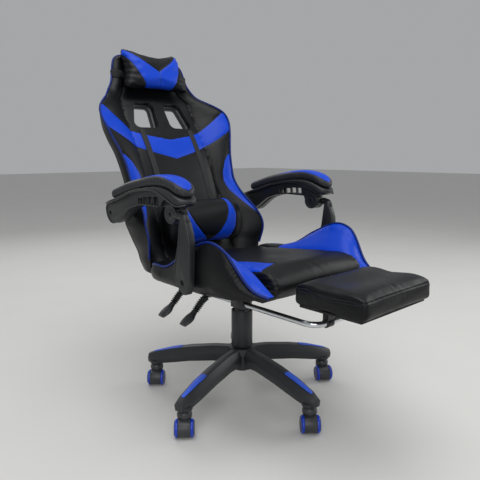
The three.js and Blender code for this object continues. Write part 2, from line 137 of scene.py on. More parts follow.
def ringFaces(ringCount, around, capped=True):
    faces = [(r * around + i, r * around + (i + 1) % around,
              (r + 1) * around + (i + 1) % around, (r + 1) * around + i)
             for r in range(ringCount - 1) for i in range(around)]
    if capped:
        faces += [tuple(range(around))[::-1],
                  tuple(range((ringCount - 1) * around, ringCount * around))]
    return faces


def skin(name, rings, capped=True, closedAlong=False):
    rings = np.asarray(rings, float)
    ringCount, around = rings.shape[:2]
    faces = ringFaces(ringCount, around, capped and not closedAlong)
    if closedAlong:
        last = (ringCount - 1) * around
        faces += [(last + i, last + (i + 1) % around, (i + 1) % around, i) for i in range(around)]
    piece = meshPiece(name, rings.reshape(-1, 3), faces)
    tidyNormals(piece)
    return piece


def tube(name, points, radius, sides=10, closed=False):
    # a round cord along the points, of one radius or one for each point
    deselectAll()
    radii = np.broadcast_to(radius, len(points))
    curve = bpy.data.curves.new(name, "CURVE")
    curve.dimensions = "3D"
    curve.bevel_depth = float(radii.max())
    curve.bevel_resolution = max(0, sides // 2 - 2)
    curve.use_fill_caps = True
    line = curve.splines.new("POLY")
    line.points.add(len(points) - 1)
    for spot, place, share in zip(line.points, np.asarray(points) + column, radii / radii.max()):
        spot.co = (*place, 1)
        spot.radius = float(share)
    line.use_cyclic_u = closed
    piece = bpy.data.objects.new(name, curve)
    bpy.context.scene.collection.objects.link(piece)
    makeActive(piece)
    bpy.ops.object.convert(target="MESH")
    piece = bpy.context.view_layer.objects.active
    tidyNormals(piece)
    smooth(piece, 60)
    return piece


def hug(points, piece, lift):
    # the points laid on a piece's surface and lifted off it a little
    laid = []
    for place in np.asarray(points) + column:
        _, spot, normal, _ = piece.closest_point_on_mesh(Vector(place))
        laid.append(np.array(spot) + np.array(normal) * lift - column)
    return np.array(laid)


def eased(path, rounds=6):
    # a path with its small wobbles averaged away, ends kept
    path = np.array(path, float)
    for _ in range(rounds):
        path[1:-1] = 0.25 * path[:-2] + 0.5 * path[1:-1] + 0.25 * path[2:]
    return path


def band(name, path, facing, width, thickness):
    # flat webbing along a path; facing is the outward direction at each point
    path, facing = np.asarray(path, float), np.asarray(facing, float)
    along = np.gradient(path, axis=0)
    along /= np.linalg.norm(along, axis=1)[:, None]
    across = np.cross(along, facing)
    across /= np.linalg.norm(across, axis=1)[:, None]
    out = np.cross(across, along)
    profile = [(-.5, 0), (-.5, .6), (-.47, 1), (-.2, 1.05), (.2, 1.05), (.47, 1), (.5, .6), (.5, 0)]
    rings = [[p + a * width * s + o * thickness * h for s, h in profile]
             for p, a, o in zip(path, across, out)]
    piece = skin(name, rings)
    smooth(piece, 50)
    return piece


def mirrored(piece, name):
    # the same shape on the other side of the middle plane
    points = pointsOf(piece) * np.array([-1.0, 1, 1])
    faces = [tuple(reversed(f.vertices)) for f in piece.data.polygons]
    copy = meshPiece(name, points, faces)
    for attribute in piece.data.attributes:
        if attribute.domain == "POINT" and attribute.data_type == "FLOAT":
            values = np.zeros(len(points), np.float32)
            attribute.data.foreach_get("value", values)
            copy.data.attributes.new(attribute.name, "FLOAT", "POINT").data.foreach_set("value", values)
    for material in piece.data.materials:
        copy.data.materials.append(material)
    slots = np.zeros(len(faces), np.int32)
    piece.data.polygons.foreach_get("material_index", slots)
    copy.data.polygons.foreach_set("material_index", slots)
    smooth(copy, 50)
    return copy


def fit(piece, material, slot, body, *nodes):
    # material, slot (not used), body and the nodes that the piece stands for
    if material is not None:
        piece.data.materials.clear()
        piece.data.materials.append(material)
    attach(piece, body)
    if nodes:
        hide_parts(*nodes)
    return piece


def refined(node, name, material, slot, body, width, segments=2, angle=34, flat=1.5):
    # a moulded piece: the node's own outline with its corners rounded over
    mesh = frame["nodes"][node].data.copy()
    mesh.name = name
    mesh.materials.clear()
    piece = bpy.data.objects.new(name, mesh)
    bpy.context.scene.collection.objects.link(piece)
    makeActive(piece)
    bpy.ops.mesh.customdata_custom_splitnormals_clear()
    bpy.ops.object.mode_set(mode="EDIT")
    bpy.ops.mesh.select_all(action="SELECT")
    bpy.ops.mesh.remove_doubles(threshold=1e-5)
    bpy.ops.mesh.dissolve_limited(angle_limit=math.radians(flat))
    bpy.ops.object.mode_set(mode="OBJECT")
    if width:
        round_ = piece.modifiers.new("Rounding", "BEVEL")
        round_.width = width
        round_.segments = segments
        round_.limit_method = "ANGLE"
        round_.angle_limit = math.radians(angle)
        round_.use_clamp_overlap = True
        applyModifiers(piece)
    smooth(piece, 34)
    return fit(piece, material, slot, body, node)


# soft goods: cloth, seams and sewn colours
farOff = 0.05  # the distance stored where no seam or colour edge is near


def plump(piece, settings):
    # remeshed, blown up a little as cloth under pressure, held near its pattern, then subdivided
    remesh = piece.modifiers.new("Remesh", "REMESH")
    remesh.mode = "VOXEL"
    remesh.voxel_size = settings["voxel"]
    applyModifiers(piece)
    before = pointsOf(piece)
    cloth = piece.modifiers.new("Cloth", "CLOTH")
    cloth.settings.quality = 4
    cloth.settings.mass = 0.3
    cloth.settings.tension_stiffness = settings.get("tension", 12)
    cloth.settings.compression_stiffness = settings.get("tension", 12)
    cloth.settings.bending_stiffness = settings.get("bending", 0.6)
    cloth.settings.use_pressure = True
    cloth.settings.uniform_pressure_force = settings["pressure"]
    cloth.settings.effector_weights.gravity = 0
    cloth.collision_settings.use_collision = False
    cloth.point_cache.frame_start, cloth.point_cache.frame_end = 1, 20
    for step in range(1, 21):
        bpy.context.scene.frame_set(step)
    applyModifiers(piece)
    bpy.context.scene.frame_set(1)
    moved = pointsOf(piece) - before
    length = np.linalg.norm(moved, axis=1)[:, None]
    kept = settings["cap"] * np.tanh(length / settings["cap"])
    setPoints(piece, before + moved * kept / np.maximum(length, 1e-9))
    relax = piece.modifiers.new("Smooth", "SMOOTH")
    relax.factor, relax.iterations = 0.5, settings.get("relax", 3)
    finer = piece.modifiers.new("Subdivision", "SUBSURF")
    finer.levels = finer.render_levels = 1
    applyModifiers(piece)
    makeActive(piece)
    bpy.ops.object.shade_smooth()


def insideBy(spots, outline):
    # signed distance to a closed outline, above zero inside it
    outline = np.asarray(outline, float)
    nearest = np.full(len(spots), 1e9)
    inside = np.zeros(len(spots), bool)
    for a, b in zip(outline, np.roll(outline, -1, axis=0)):
        edge = b - a
        t = np.clip(((spots - a) @ edge) / max(edge @ edge, 1e-12), 0, 1)
        nearest = np.minimum(nearest, np.linalg.norm(spots - a - t[:, None] * edge, axis=1))
        crosses = (a[1] > spots[:, 1]) != (b[1] > spots[:, 1])
        at = a[0] + (spots[:, 1] - a[1]) / (edge[1] if abs(edge[1]) > 1e-12 else 1e-12) * edge[0]
        inside ^= crosses & (spots[:, 0] < at)
    return np.where(inside, nearest, -nearest)


def near(values, middle, reach):
    # 1 at the middle, fading to nothing past reach
    return np.exp(-((values - middle) / reach) ** 2)


def easeIn(t):
    # 0 to 1 with level ends
    return t * t * (3 - 2 * t)


def store(piece, name, values):
    attribute = piece.data.attributes.get(name) or piece.data.attributes.new(name, "FLOAT", "POINT")
    attribute.data.foreach_set("value", np.asarray(values, np.float32))


def sew(piece, blueBy, seamBy, depth=0.0016, width=0.0032):
    # blueBy: signed distance into the blue; seamBy: distance to the nearest seam. Seams sink in
    points, normals = pointsOf(piece), normalsOf(piece)
    nearest = np.minimum(np.abs(blueBy), seamBy)
    dip = depth * np.exp(-((nearest / width) ** 2))
    setPoints(piece, points - normals * dip[:, None])
    store(piece, "blueBy", blueBy)
    store(piece, "seamBy", np.minimum(nearest, farOff))


# materials
def linear(hexColour):
    parts = [int(hexColour[i:i + 2], 16) / 255 for i in (1, 3, 5)]
    return (*[c / 12.92 if c <= 0.04045 else ((c + 0.055) / 1.055) ** 2.4 for c in parts], 1.0)


def addNode(tree, kind, settings=None, inputs=None):
    # one node with its settings; an input is a value, or a (node, output) pair to link from
    node = tree.nodes.new(kind)
    for key, value in (settings or {}).items():
        setattr(node, key, value)
    for key, value in (inputs or {}).items():
        if isinstance(value, tuple) and len(value) == 2 and hasattr(value[0], "outputs"):
            tree.links.new(value[0].outputs[value[1]], node.inputs[key])
        else:
            node.inputs[key].default_value = value
    return node


def newMaterial(name, **constants):
    material = bpy.data.materials.new(name)
    material.use_nodes = True
    tree = material.node_tree
    shader = tree.nodes["Principled BSDF"]
    for key, value in constants.items():
        shader.inputs[key.replace("_", " ")].default_value = value
    place = addNode(tree, "ShaderNodeTexCoord")
    return material, tree, shader, (place, "Object")


def leatherette(name, look):
    # polyurethane coated fabric: soft sheen over a fine pebbled grain,
    # a little uneven where it is stretched
    material, tree, shader, at = newMaterial(name, IOR=1.48, Specular_IOR_Level=look["specular"])
    uneven = addNode(tree, "ShaderNodeTexNoise", None,
                     {"Vector": at, "Scale": 1 / look["blotch"], "Detail": 4.0, "Roughness": 0.6})
    black = addNode(tree, "ShaderNodeMix", {"data_type": "RGBA"},
                    {0: (uneven, "Fac"), 6: linear(look["dark"]), 7: linear(look["darkLit"])})
    blue = addNode(tree, "ShaderNodeMix", {"data_type": "RGBA"},
                   {0: (uneven, "Fac"), 6: linear(look["blue"]), 7: linear(look["blueLit"])})
    blueBy = addNode(tree, "ShaderNodeAttribute", {"attribute_name": "blueBy"})
    isBlue = addNode(tree, "ShaderNodeMapRange", None,
                     {"Value": (blueBy, "Fac"), "From Min": 0.0, "From Max": 0.0006})
    both = addNode(tree, "ShaderNodeMix", {"data_type": "RGBA"},
                   {0: (isBlue, "Result"), 6: (black, 2), 7: (blue, 2)})
    seamBy = addNode(tree, "ShaderNodeAttribute", {"attribute_name": "seamBy"})
    shade = addNode(tree, "ShaderNodeMapRange", None,
                    {"Value": (seamBy, "Fac"), "From Min": 0.0002, "From Max": 0.0022,
                     "To Min": look["seamShade"], "To Max": 0.0})
    shaded = addNode(tree, "ShaderNodeMix", {"data_type": "RGBA"},
                     {0: (shade, "Result"), 6: (both, 2), 7: linear(look["seam"])})
    tree.links.new(shaded.outputs[2], shader.inputs["Base Color"])
    # grain is about 1 mm on the real fabric, drawn 1.6 mm so that it shows
    grain = addNode(tree, "ShaderNodeTexVoronoi", {"feature": "F1"},
                    {"Vector": at, "Scale": 1 / look["grain"], "Randomness": 1.0})
    crease = addNode(tree, "ShaderNodeTexNoise", None,
                     {"Vector": at, "Scale": 1 / look["crease"], "Detail": 3.0, "Distortion": 0.6})
    rough = addNode(tree, "ShaderNodeMapRange", None,
                    {"Value": (uneven, "Fac"), "From Min": 0.3, "From Max": 0.7,
                     "To Min": look["rough"] - 0.05, "To Max": look["rough"] + 0.06})
    tree.links.new(rough.outputs["Result"], shader.inputs["Roughness"])
    creased = addNode(tree, "ShaderNodeBump", None,
                      {"Strength": look["creaseStrength"], "Distance": 0.003, "Height": (crease, "Fac")})
    pebbled = addNode(tree, "ShaderNodeBump", None,
                      {"Strength": look["grainStrength"], "Distance": 0.0003, "Height": (grain, "Distance"),
                       "Normal": (creased, "Normal")})
    tree.links.new(pebbled.outputs["Normal"], shader.inputs["Normal"])
    return material


def mouldedPlastic(name, look):
    # glass-filled nylon: spark-eroded mould texture, satin, rubbed lighter in patches
    material, tree, shader, at = newMaterial(name, IOR=1.5)
    cloud = addNode(tree, "ShaderNodeTexNoise", None,
                    {"Vector": at, "Scale": 1 / look["cloud"], "Detail": 5.0, "Roughness": 0.55})
    colour = addNode(tree, "ShaderNodeMix", {"data_type": "RGBA"},
                     {0: (cloud, "Fac"), 6: linear(look["deep"]), 7: linear(look["worn"])})
    tree.links.new(colour.outputs[2], shader.inputs["Base Color"])
    rough = addNode(tree, "ShaderNodeMapRange", None,
                    {"Value": (cloud, "Fac"), "From Min": 0.3, "From Max": 0.7,
                     "To Min": look["rough"] - 0.05, "To Max": look["rough"] + 0.05})
    tree.links.new(rough.outputs["Result"], shader.inputs["Roughness"])
    # mould texture is 0.3 mm on the real part, drawn 0.9 mm so that it shows
    spark = addNode(tree, "ShaderNodeTexNoise", None,
                    {"Vector": at, "Scale": 1 / look["texture"], "Detail": 2.0})
    bump = addNode(tree, "ShaderNodeBump", None,
                   {"Strength": look["bump"], "Distance": 0.0003, "Height": (spark, "Fac")})
    tree.links.new(bump.outputs["Normal"], shader.inputs["Normal"])
    return material


def polishedMetal(name, look):
    # steel tube, polished and chromed or painted: faint drawn streaks along it
    material, tree, shader, at = newMaterial(name, Metallic=look["metallic"])
    streak = addNode(tree, "ShaderNodeTexNoise", None, {"Vector": at, "Scale": 60.0, "Detail": 6.0})
    colour = addNode(tree, "ShaderNodeMix", {"data_type": "RGBA"},
                     {0: (streak, "Fac"), 6: linear(look["deep"]), 7: linear(look["worn"])})
    tree.links.new(colour.outputs[2], shader.inputs["Base Color"])
    rough = addNode(tree, "ShaderNodeMapRange", None, {"Value": (streak, "Fac"),
                                                       "To Min": look["rough"] * 0.7,
                                                       "To Max": look["rough"] * 1.3})
    tree.links.new(rough.outputs["Result"], shader.inputs["Roughness"])
    return material


blackLook = {"dark": "#08090b", "darkLit": "#0d0e11", "blue": "#0039b4", "blueLit": "#0043cc",
             "seam": "#050608", "seamShade": 0.75, "blotch": 0.09, "rough": 0.40, "specular": 0.25,
             "grain": 0.0016, "grainStrength": 0.28, "crease": 0.05, "creaseStrength": 0.12}
coatedFabric = leatherette("coated_fabric_black_and_blue", blackLook)
blueOnly = dict(blackLook, dark="#003ec0", darkLit="#004ad8", rough=0.38)
bluePiping = leatherette("coated_fabric_blue_piping", blueOnly)
padBand = leatherette("coated_fabric_arm_pads", dict(blackLook, dark="#26282b", darkLit="#35373b",
                                                     grainStrength=0.5, grain=0.0022))
nylon = mouldedPlastic("moulded_glass_filled_nylon",
                       {"cloud": 0.05, "deep": "#1e2023", "worn": "#2b2d31", "rough": 0.42,
                        "texture": 0.0009, "bump": 0.3})
armNylon = mouldedPlastic("moulded_polypropylene_arms",
                          {"cloud": 0.05, "deep": "#191b1d", "worn": "#26282a", "rough": 0.41,
                           "texture": 0.0009, "bump": 0.35})
hoodNylon = mouldedPlastic("moulded_caster_hood",
                           {"cloud": 0.03, "deep": "#2c2d30", "worn": "#3c3d41", "rough": 0.38,
                            "texture": 0.0009, "bump": 0.2})
inlayGrain = mouldedPlastic("textured_blue_inlay",
                            {"cloud": 0.02, "deep": "#1d49c8", "worn": "#3d6ff0", "rough": 0.55,
                             "texture": 0.0026, "bump": 0.9})
wheelBlue = mouldedPlastic("gloss_blue_polyurethane",
                           {"cloud": 0.03, "deep": "#0a2f9e", "worn": "#1142c4", "rough": 0.18,
                            "texture": 0.004, "bump": 0.05})
webbing = mouldedPlastic("woven_elastic_webbing",
                         {"cloud": 0.02, "deep": "#0c0d0f", "worn": "#16181b", "rough": 0.7,
                          "texture": 0.0015, "bump": 0.8})
chrome = polishedMetal("chromed_steel_tube",
                       {"metallic": 1.0, "deep": "#c9ccd0", "worn": "#dfe2e5", "rough": 0.14})
paintedSteel = polishedMetal("black_painted_steel",
                             {"metallic": 0.0, "deep": "#101113", "worn": "#1b1c1f", "rough": 0.4})
plywood = mouldedPlastic("black_stained_plywood",
                         {"cloud": 0.02, "deep": "#131212", "worn": "#1d1b19", "rough": 0.7,
                          "texture": 0.004, "bump": 0.5})
print("materials made")

# camera, light and floor
view = {"place": (-1.0989, -1.2091, 0.79975), "turn": (80.3986, 0.0, -42.5587), "lens": 38.225}
camera = bpy.data.objects.new("camera", bpy.data.cameras.new("camera"))
bpy.context.scene.collection.objects.link(camera)
camera.location = view["place"]
camera.rotation_euler = [math.radians(a) for a in view["turn"]]
camera.data.lens = view["lens"]
camera.data.sensor_width = 36
camera.data.clip_start = 0.05
bpy.context.scene.camera = camera
bpy.context.scene.view_settings.view_transform = "Standard"

lights = {"overhead": ((-0.3, -0.6, 3.4), (0, 0, 0.6), 2.6, 62),
          "front": ((-2.6, -2.4, 2.0), (0, 0, 0.7), 2.0, 34),
          "right": ((3.0, -1.2, 1.9), (0, 0, 0.7), 1.8, 26),
          "behind": ((0.6, 3.0, 2.4), (0, 0, 0.8), 2.0, 22)}
for name, (place, aim, size, power) in lights.items():
    lamp = bpy.data.objects.new("light_" + name, bpy.data.lights.new("light_" + name, "AREA"))
    bpy.context.scene.collection.objects.link(lamp)
    lamp.location = place
    lamp.rotation_euler = (Vector(aim) - Vector(place)).to_track_quat("-Z", "Y").to_euler()
    lamp.data.size = size
    lamp.data.energy = power
world = bpy.data.worlds.new("studio")
bpy.context.scene.world = world
world.use_nodes = True
world.node_tree.nodes["Background"].inputs["Color"].default_value = linear("#eef0f2")
world.node_tree.nodes["Background"].inputs["Strength"].default_value = 0.44

deselectAll()
bpy.ops.mesh.primitive_plane_add(size=40, location=(0, 0, 0))
floor = bpy.context.object
floor.name = "floor"
floorPaint, floorTree, floorShader, floorAt = newMaterial("pale_floor")
speckle = addNode(floorTree, "ShaderNodeTexNoise", None, {"Vector": floorAt, "Scale": 3.0, "Detail": 6.0})
floorColour = addNode(floorTree, "ShaderNodeMix", {"data_type": "RGBA"},
                      {0: (speckle, "Fac"), 6: linear("#cfcecb"), 7: linear("#d6d5d2")})
floorTree.links.new(floorColour.outputs[2], floorShader.inputs["Base Color"])
floorShader.inputs["Roughness"].default_value = 0.7
floor.data.materials.append(floorPaint)
print("camera, lights and floor set")

# backrest
# level sections: height, half width, then y of the wing's front edge, the panel,
# the side's rear edge and the rear face, and how far the side draws in
back = {"sections": np.array([(.425, .236, .176, .180, .226, .250, .008),
                              (.450, .241, .170, .206, .236, .272, .008),
                              (.480, .243, .167, .228, .246, .290, .008),
                              (.515, .250, .157, .240, .268, .305, .009),
                              (.545, .253, .158, .252, .292, .318, .010),
                              (.572, .251, .171, .263, .304, .328, .004),
                              (.600, .243, .192, .275, .312, .338, .003),
                              (.632, .232, .228, .289, .320, .350, .002),
                              (.665, .226, .262, .302, .328, .362, .001),
                              (.700, .224, .291, .316, .340, .376, .001),
                              (.750, .228, .310, .338, .360, .398, .002),
                              (.800, .238, .329, .364, .384, .418, .006),
                              (.850, .254, .348, .394, .414, .437, .011),
                              (.900, .271, .367, .428, .440, .464, .024),
                              (.935, .278, .386, .450, .458, .484, .040),
                              (.962, .267, .400, .466, .470, .499, .058),
                              (.990, .231, .437, .480, .490, .514, .050),
                              (1.020, .192, .485, .503, .520, .540, .042),
                              (1.050, .169, .503, .514, .540, .560, .038),
                              (1.110, .153, .521, .530, .562, .590, .036),
                              (1.135, .145, .528, .538, .570, .598, .036)]),
        "seamX": 0.150, "seamShare": 0.66, "panelCrown": 0.007, "wingPad": 0.012, "sideBulge": 0.004,
        "rearRound": 2.8, "low": .425, "top": 1.135, "step": 0.005, "dome": 0.022,
        "frontCount": 101, "sideCount": 18, "rearCount": 60}


def backSizes(z):
    table = back["sections"]
    return [through(table[:, 0], table[:, k], z) for k in range(1, 7)]


def backRing(z):
    half, wing, panel, sideRear, rear, taper = backSizes(z)
    seamX = min(back["seamX"], back["seamShare"] * half)
    x = np.linspace(-half, half, back["frontCount"])
    onWing = np.clip((np.abs(x) - seamX) / (half - seamX), 0, 1)
    onPanel = np.clip(np.abs(x) / seamX, 0, 1)
    y = (panel + (wing - panel) * onWing - back["panelCrown"] * (1 - onPanel**4)
         - back["wingPad"] * np.sin(np.pi * onWing) ** 0.7)
    front = np.stack([x, y], axis=1)
    t = np.linspace(0, 1, back["sideCount"] + 2)[1:-1]
    sideX = half + back["sideBulge"] * np.sin(np.pi * t) - taper * t
    side = np.stack([sideX, wing + (sideRear - wing) * t], axis=1)
    turn = np.linspace(0, np.pi, back["rearCount"])
    power = 2 / back["rearRound"]
    rearX = (half - taper) * np.sign(np.cos(turn)) * np.abs(np.cos(turn)) ** power
    rearY = sideRear + (rear - sideRear) * np.sin(turn) ** power
    rearLine = np.stack([rearX, rearY], axis=1)
    otherSide = side[::-1] * np.array([-1, 1])
    ring = np.vstack([front, side, rearLine, otherSide])
    return np.column_stack([ring, np.full(len(ring), z)])


def domed(ring, rise, sign):
    # rings that round off an end
    middle = ring.mean(axis=0)
    made = []
    for turn in np.linspace(0.12, 1, 9) * np.pi / 2:
        share = max(math.cos(turn), 0.02)
        layer = ring.copy()
        layer[:, :2] = middle[:2] + (ring[:, :2] - middle[:2]) * share ** 0.55
        layer[:, 2] += sign * rise * math.sin(turn)
        made.append(layer)
    return made


heights = np.arange(back["low"], back["top"] + 1e-4, back["step"])
backRings = [backRing(z) for z in heights]
backCover = skin("back_cover", [*domed(backRings[0], back["dome"], -1)[::-1], *backRings,
                                *domed(backRings[-1], back["dome"], 1)])

# pass-through windows beside the middle: corners as (x, distance up the leaning back)
window = {"corners": [(.035, -.045), (.118, -.045), (.091, .043), (.032, .043)],
          "y": .470, "z": .928, "lean": 27.0, "hole": .0095, "cut": (-.12, .16), "corner": .011,
          "deep": .0120, "near": .012, "pinch": .040,
          "profile": [(.0150, .000), (.0145, -.0050), (.0110, -.0080), (.0040, -.0070), (.0000, -.0030),
                      (.0000, .0090), (.0030, .0150), (.0100, .0170), (.0145, .0160), (.0150, .0120),
                      (.0105, .0110), (.0095, .0100), (.0095, .0050), (.0100, .0005)]}


def roundedWindow(grow, count=6):
    # the window's outline with rounded corners, pushed out by grow
    corners = np.array(window["corners"])
    radius = window["corner"] + grow
    outline = []
    for k in range(4):
        here, before, after = corners[k], corners[k - 1], corners[(k + 1) % 4]
        toBefore, toAfter = before - here, after - here
        toBefore, toAfter = toBefore / np.linalg.norm(toBefore), toAfter / np.linalg.norm(toAfter)
        halfTurn = math.acos(np.clip(toBefore @ toAfter, -1, 1)) / 2
        inward = (toBefore + toAfter) / np.linalg.norm(toBefore + toAfter)
        centre = here + inward * window["corner"] / math.sin(halfTurn)
        first = np.array([-inward[0], -inward[1]])
        swing = np.pi / 2 - halfTurn
        base = math.atan2(first[1], first[0])
        cross = toBefore[0] * toAfter[1] - toBefore[1] * toAfter[0]
        order = np.linspace(swing, -swing, count) if cross > 0 else np.linspace(-swing, swing, count)
        outline += [centre + radius * np.array([math.cos(base + a), math.sin(base + a)]) for a in order]
    return np.array(outline)


def onBack(outline, depth, sign=1):
    # (x, up the back) points at a depth behind the panel's face
    lean = math.radians(window["lean"])
    x, up = outline[:, 0] * sign, outline[:, 1]
    return np.stack([x, window["y"] + depth * math.cos(lean) + up * math.sin(lean),
                     window["z"] - depth * math.sin(lean) + up * math.cos(lean)], axis=1)


def pinchRear(piece):
    # the padding is drawn together round each window, so the back is thin there
    points = pointsOf(piece)
    lean = math.radians(window["lean"])
    outY, outZ = points[:, 1] - window["y"], points[:, 2] - window["z"]
    depth = outY * math.cos(lean) - outZ * math.sin(lean)
    up = outY * math.sin(lean) + outZ * math.cos(lean)
    away = -insideBy(np.stack([np.abs(points[:, 0]), up], axis=1), window["corners"])
    share = np.clip((away - window["near"]) / window["pinch"], 0, 1)
    share = easeIn(share)
    wanted = np.where(depth > window["deep"], window["deep"] + (depth - window["deep"]) * share, depth)
    shift = np.minimum(wanted - depth, 0)
    points[:, 1] += shift * math.cos(lean)
    points[:, 2] -= shift * math.sin(lean)
    setPoints(piece, points)


pinchRear(backCover)
for side, sign in (("left", 1), ("right", -1)):
    hole = skin("window_tool",
                [onBack(roundedWindow(window["hole"]), depth, sign) for depth in window["cut"]])
    cut = backCover.modifiers.new("Window", "BOOLEAN")
    cut.operation, cut.solver, cut.object = "DIFFERENCE", "EXACT", hole
    applyModifiers(backCover)
    bpy.data.objects.remove(hole)
    bezel = skin("window_bezel_rim_" + side,
                 [onBack(roundedWindow(grow), depth, sign) for grow, depth in window["profile"]],
                 closedAlong=True)
    smooth(bezel, 45)
    fit(bezel, nylon, "black_nylon", "back", "window_bezel_" + side)
print("backrest shaped")

blueParts = {"chevron": [(-.03, .852), (0, .852), (.106, .869), (.148, .880), (.200, .918),
                         (.258, .962), (.31, 1.0), (.31, .915), (.263, .889), (.205, .856),
                         (.148, .824), (.106, .810), (0, .783), (-.03, .783)],
             "waist": [(.30, .800), (.228, .800), (.204, .775), (.184, .735), (.177, .700),
                       (.184, .668), (.222, .610), (.262, .560), (.30, .560)],
             "gathers": {"x": .150, "low": .885, "high": .985, "fade": 0.015, "reach": .016,
                         "depth": .0011, "pitch": .0125, "slant": 30}}
points, normals = pointsOf(backCover), normalsOf(backCover)
flatSpots = np.stack([np.abs(points[:, 0]), points[:, 2]], axis=1)
blueBy = np.maximum(insideBy(flatSpots, blueParts["chevron"]), insideBy(flatSpots, blueParts["waist"]))
facing = np.where(normals[:, 1] < -0.22, 0.03, -0.03)
blueBy = np.minimum(blueBy, facing)
seamX = np.minimum(back["seamX"], back["seamShare"] * backSizes(points[:, 2])[0])
seamBy = np.abs(flatSpots[:, 0] - seamX)
seamBy = np.where((facing > 0) & (points[:, 2] > .45), seamBy, farOff)
gathers = blueParts["gathers"]
fromEnds = np.minimum(points[:, 2] - gathers["low"], gathers["high"] - points[:, 2])
inGathers = near(flatSpots[:, 0], gathers["x"], gathers["reach"]) * np.clip(fromEnds / gathers["fade"], 0, 1)
inGathers = np.where(facing > 0, inGathers, 0)
phase = points[:, 2] * 2 * np.pi / gathers["pitch"] + gathers["slant"] * flatSpots[:, 0]
wave = gathers["depth"] * np.sin(phase) * inGathers
setPoints(backCover, points + normals * wave[:, None])
store(backCover, "blueBy", blueBy)
sew(backCover, np.where(np.abs(blueBy) > 0.0299, np.sign(blueBy) * farOff, blueBy), seamBy, 0.0020, 0.0034)
smooth(backCover, 50)
fit(backCover, coatedFabric, "black_leatherette", "back", "back_shell")

# blue piping round the back's edge, over the top from side to side
edgeZ = np.arange(.470, back["top"] + 1e-4, .01)
edgeHalf, edgeWing = backSizes(edgeZ)[:2]
rightEdge = np.stack([-edgeHalf, edgeWing, edgeZ], axis=1)
overTop = [(-.118, .538, 1.150), (-.08, .545, 1.157), (0, .548, 1.160),
           (.08, .545, 1.157), (.118, .538, 1.150)]
backEdge = np.vstack([rightEdge, overTop, rightEdge[::-1] * np.array([-1, 1, 1])])
backEdge = eased(hug(evenPath(backEdge, 260), backCover, 0.0030))
piping = tube("back_piping", backEdge, 0.0036)
fit(piping, bluePiping, "blue_leatherette", "back")

# the lumbar pillow's two straps, down the panel from the windows
strap = {"x": .106, "width": .0225, "thick": .0016, "top": .893, "bottom": .636, "steps": 60}
strapLean = math.radians(window["lean"])
for side, sign in (("left", 1), ("right", -1)):
    zs = np.linspace(strap["top"], strap["bottom"], strap["steps"])
    inFront = backSizes(zs)[2] - 0.02
    guess = np.stack([np.full(strap["steps"], sign * strap["x"]), inFront, zs], axis=1)
    laid = hug(guess, backCover, 0.0004)
    laid[:, 0] = sign * strap["x"]
    facingOut = np.tile([0, -math.cos(strapLean), math.sin(strapLean)], (strap["steps"], 1))
    webStrap = band("lumbar_strap_" + side, laid, facingOut, strap["width"], strap["thick"])
    fit(webStrap, webbing, "black_leatherette", "back")
print("back sewn")

# head pillow
head = {"around": 34, "along": 26, "foot": (.462, 1.022), "lean": .40, "faces": (-.038, .030),
        "plump": {"voxel": 0.005, "pressure": 3.5, "cap": 0.006, "relax": 2}}


def headMiddle(z):
    # y of the pillow's middle plane, which leans with the back
    return head["foot"][0] + (z - head["foot"][1]) * head["lean"]


def headPillow():
    # a flat-sewn pillow: two faces on one outline with pointed upper corners and a dipped top
    u = np.linspace(-1, 1, head["around"])
    v = np.linspace(-1, 1, head["along"])
    uu, vv = np.meshgrid(u, v, indexing="ij")
    topZ = 1.160 + .027 * np.abs(uu) ** 2.2
    lowZ = 1.034 - .012 * np.abs(uu) ** 2
    z = lowZ + (topZ - lowZ) * (vv * (1 - .11 * uu**6) + 1) / 2
    width = .133 + .006 * vv**2 - .010 * vv
    x = uu * width * (1 - .05 * (1 - vv**2)) * (1 - .085 * vv**6)
    swell = (1 - np.abs(uu) ** 5) ** .5 * (1 - np.abs(vv) ** 4) ** .5
    middle = headMiddle(z)
    faces = []
    rings = []
    for thickness in head["faces"]:
        rings.append(np.stack([x, middle + thickness * swell, z], axis=-1).reshape(-1, 3))
    across, up = head["around"], head["along"]
    count = across * up
    for layer, flip in ((0, False), (1, True)):
        for i in range(across - 1):
            for j in range(up - 1):
                a = layer * count + i * up + j
                quad = (a, a + up, a + up + 1, a + 1)
                faces.append(quad[::-1] if flip else quad)
    piece = meshPiece("head_pillow_cover", np.vstack(rings), faces)
    tidyNormals(piece, 1e-5)
    return piece


pillow = headPillow()
plump(pillow, head["plump"])
points = pointsOf(pillow)
flatSpots = np.stack([np.abs(points[:, 0]), points[:, 2]], axis=1)
headBlue = [(0, 1.099), (.060, 1.137), (.108, 1.170), (.150, 1.20), (.150, 1.175), (.126, 1.160),
            (.100, 1.118), (.080, 1.080), (.060, 1.045), (.050, 1.00), (-.01, 1.00)]
frontSide = points[:, 1] < headMiddle(points[:, 2]) + .002
blueBy = np.where(frontSide, insideBy(flatSpots, headBlue), -farOff)
middleSeam = np.where(frontSide & (points[:, 2] < 1.099), flatSpots[:, 0], farOff)
rimSeam = np.abs(points[:, 1] - headMiddle(points[:, 2]))
normals = normalsOf(pillow)
gather = near(flatSpots[:, 0], .118, .022) * np.sin(points[:, 2] * 2 * np.pi / .021 + points[:, 0] * 40)
broad = near(flatSpots[:, 0], .085, .020) * np.sin(points[:, 2] * 2 * np.pi / .034 - points[:, 0] * 70)
gather += 0.8 * broad
setPoints(pillow, points + normals * (0.0009 * gather * frontSide)[:, None])
sew(pillow, blueBy, np.minimum(middleSeam, rimSeam), 0.0018, 0.0030)
fit(pillow, coatedFabric, "black_leatherette", "back", "head_pillow")

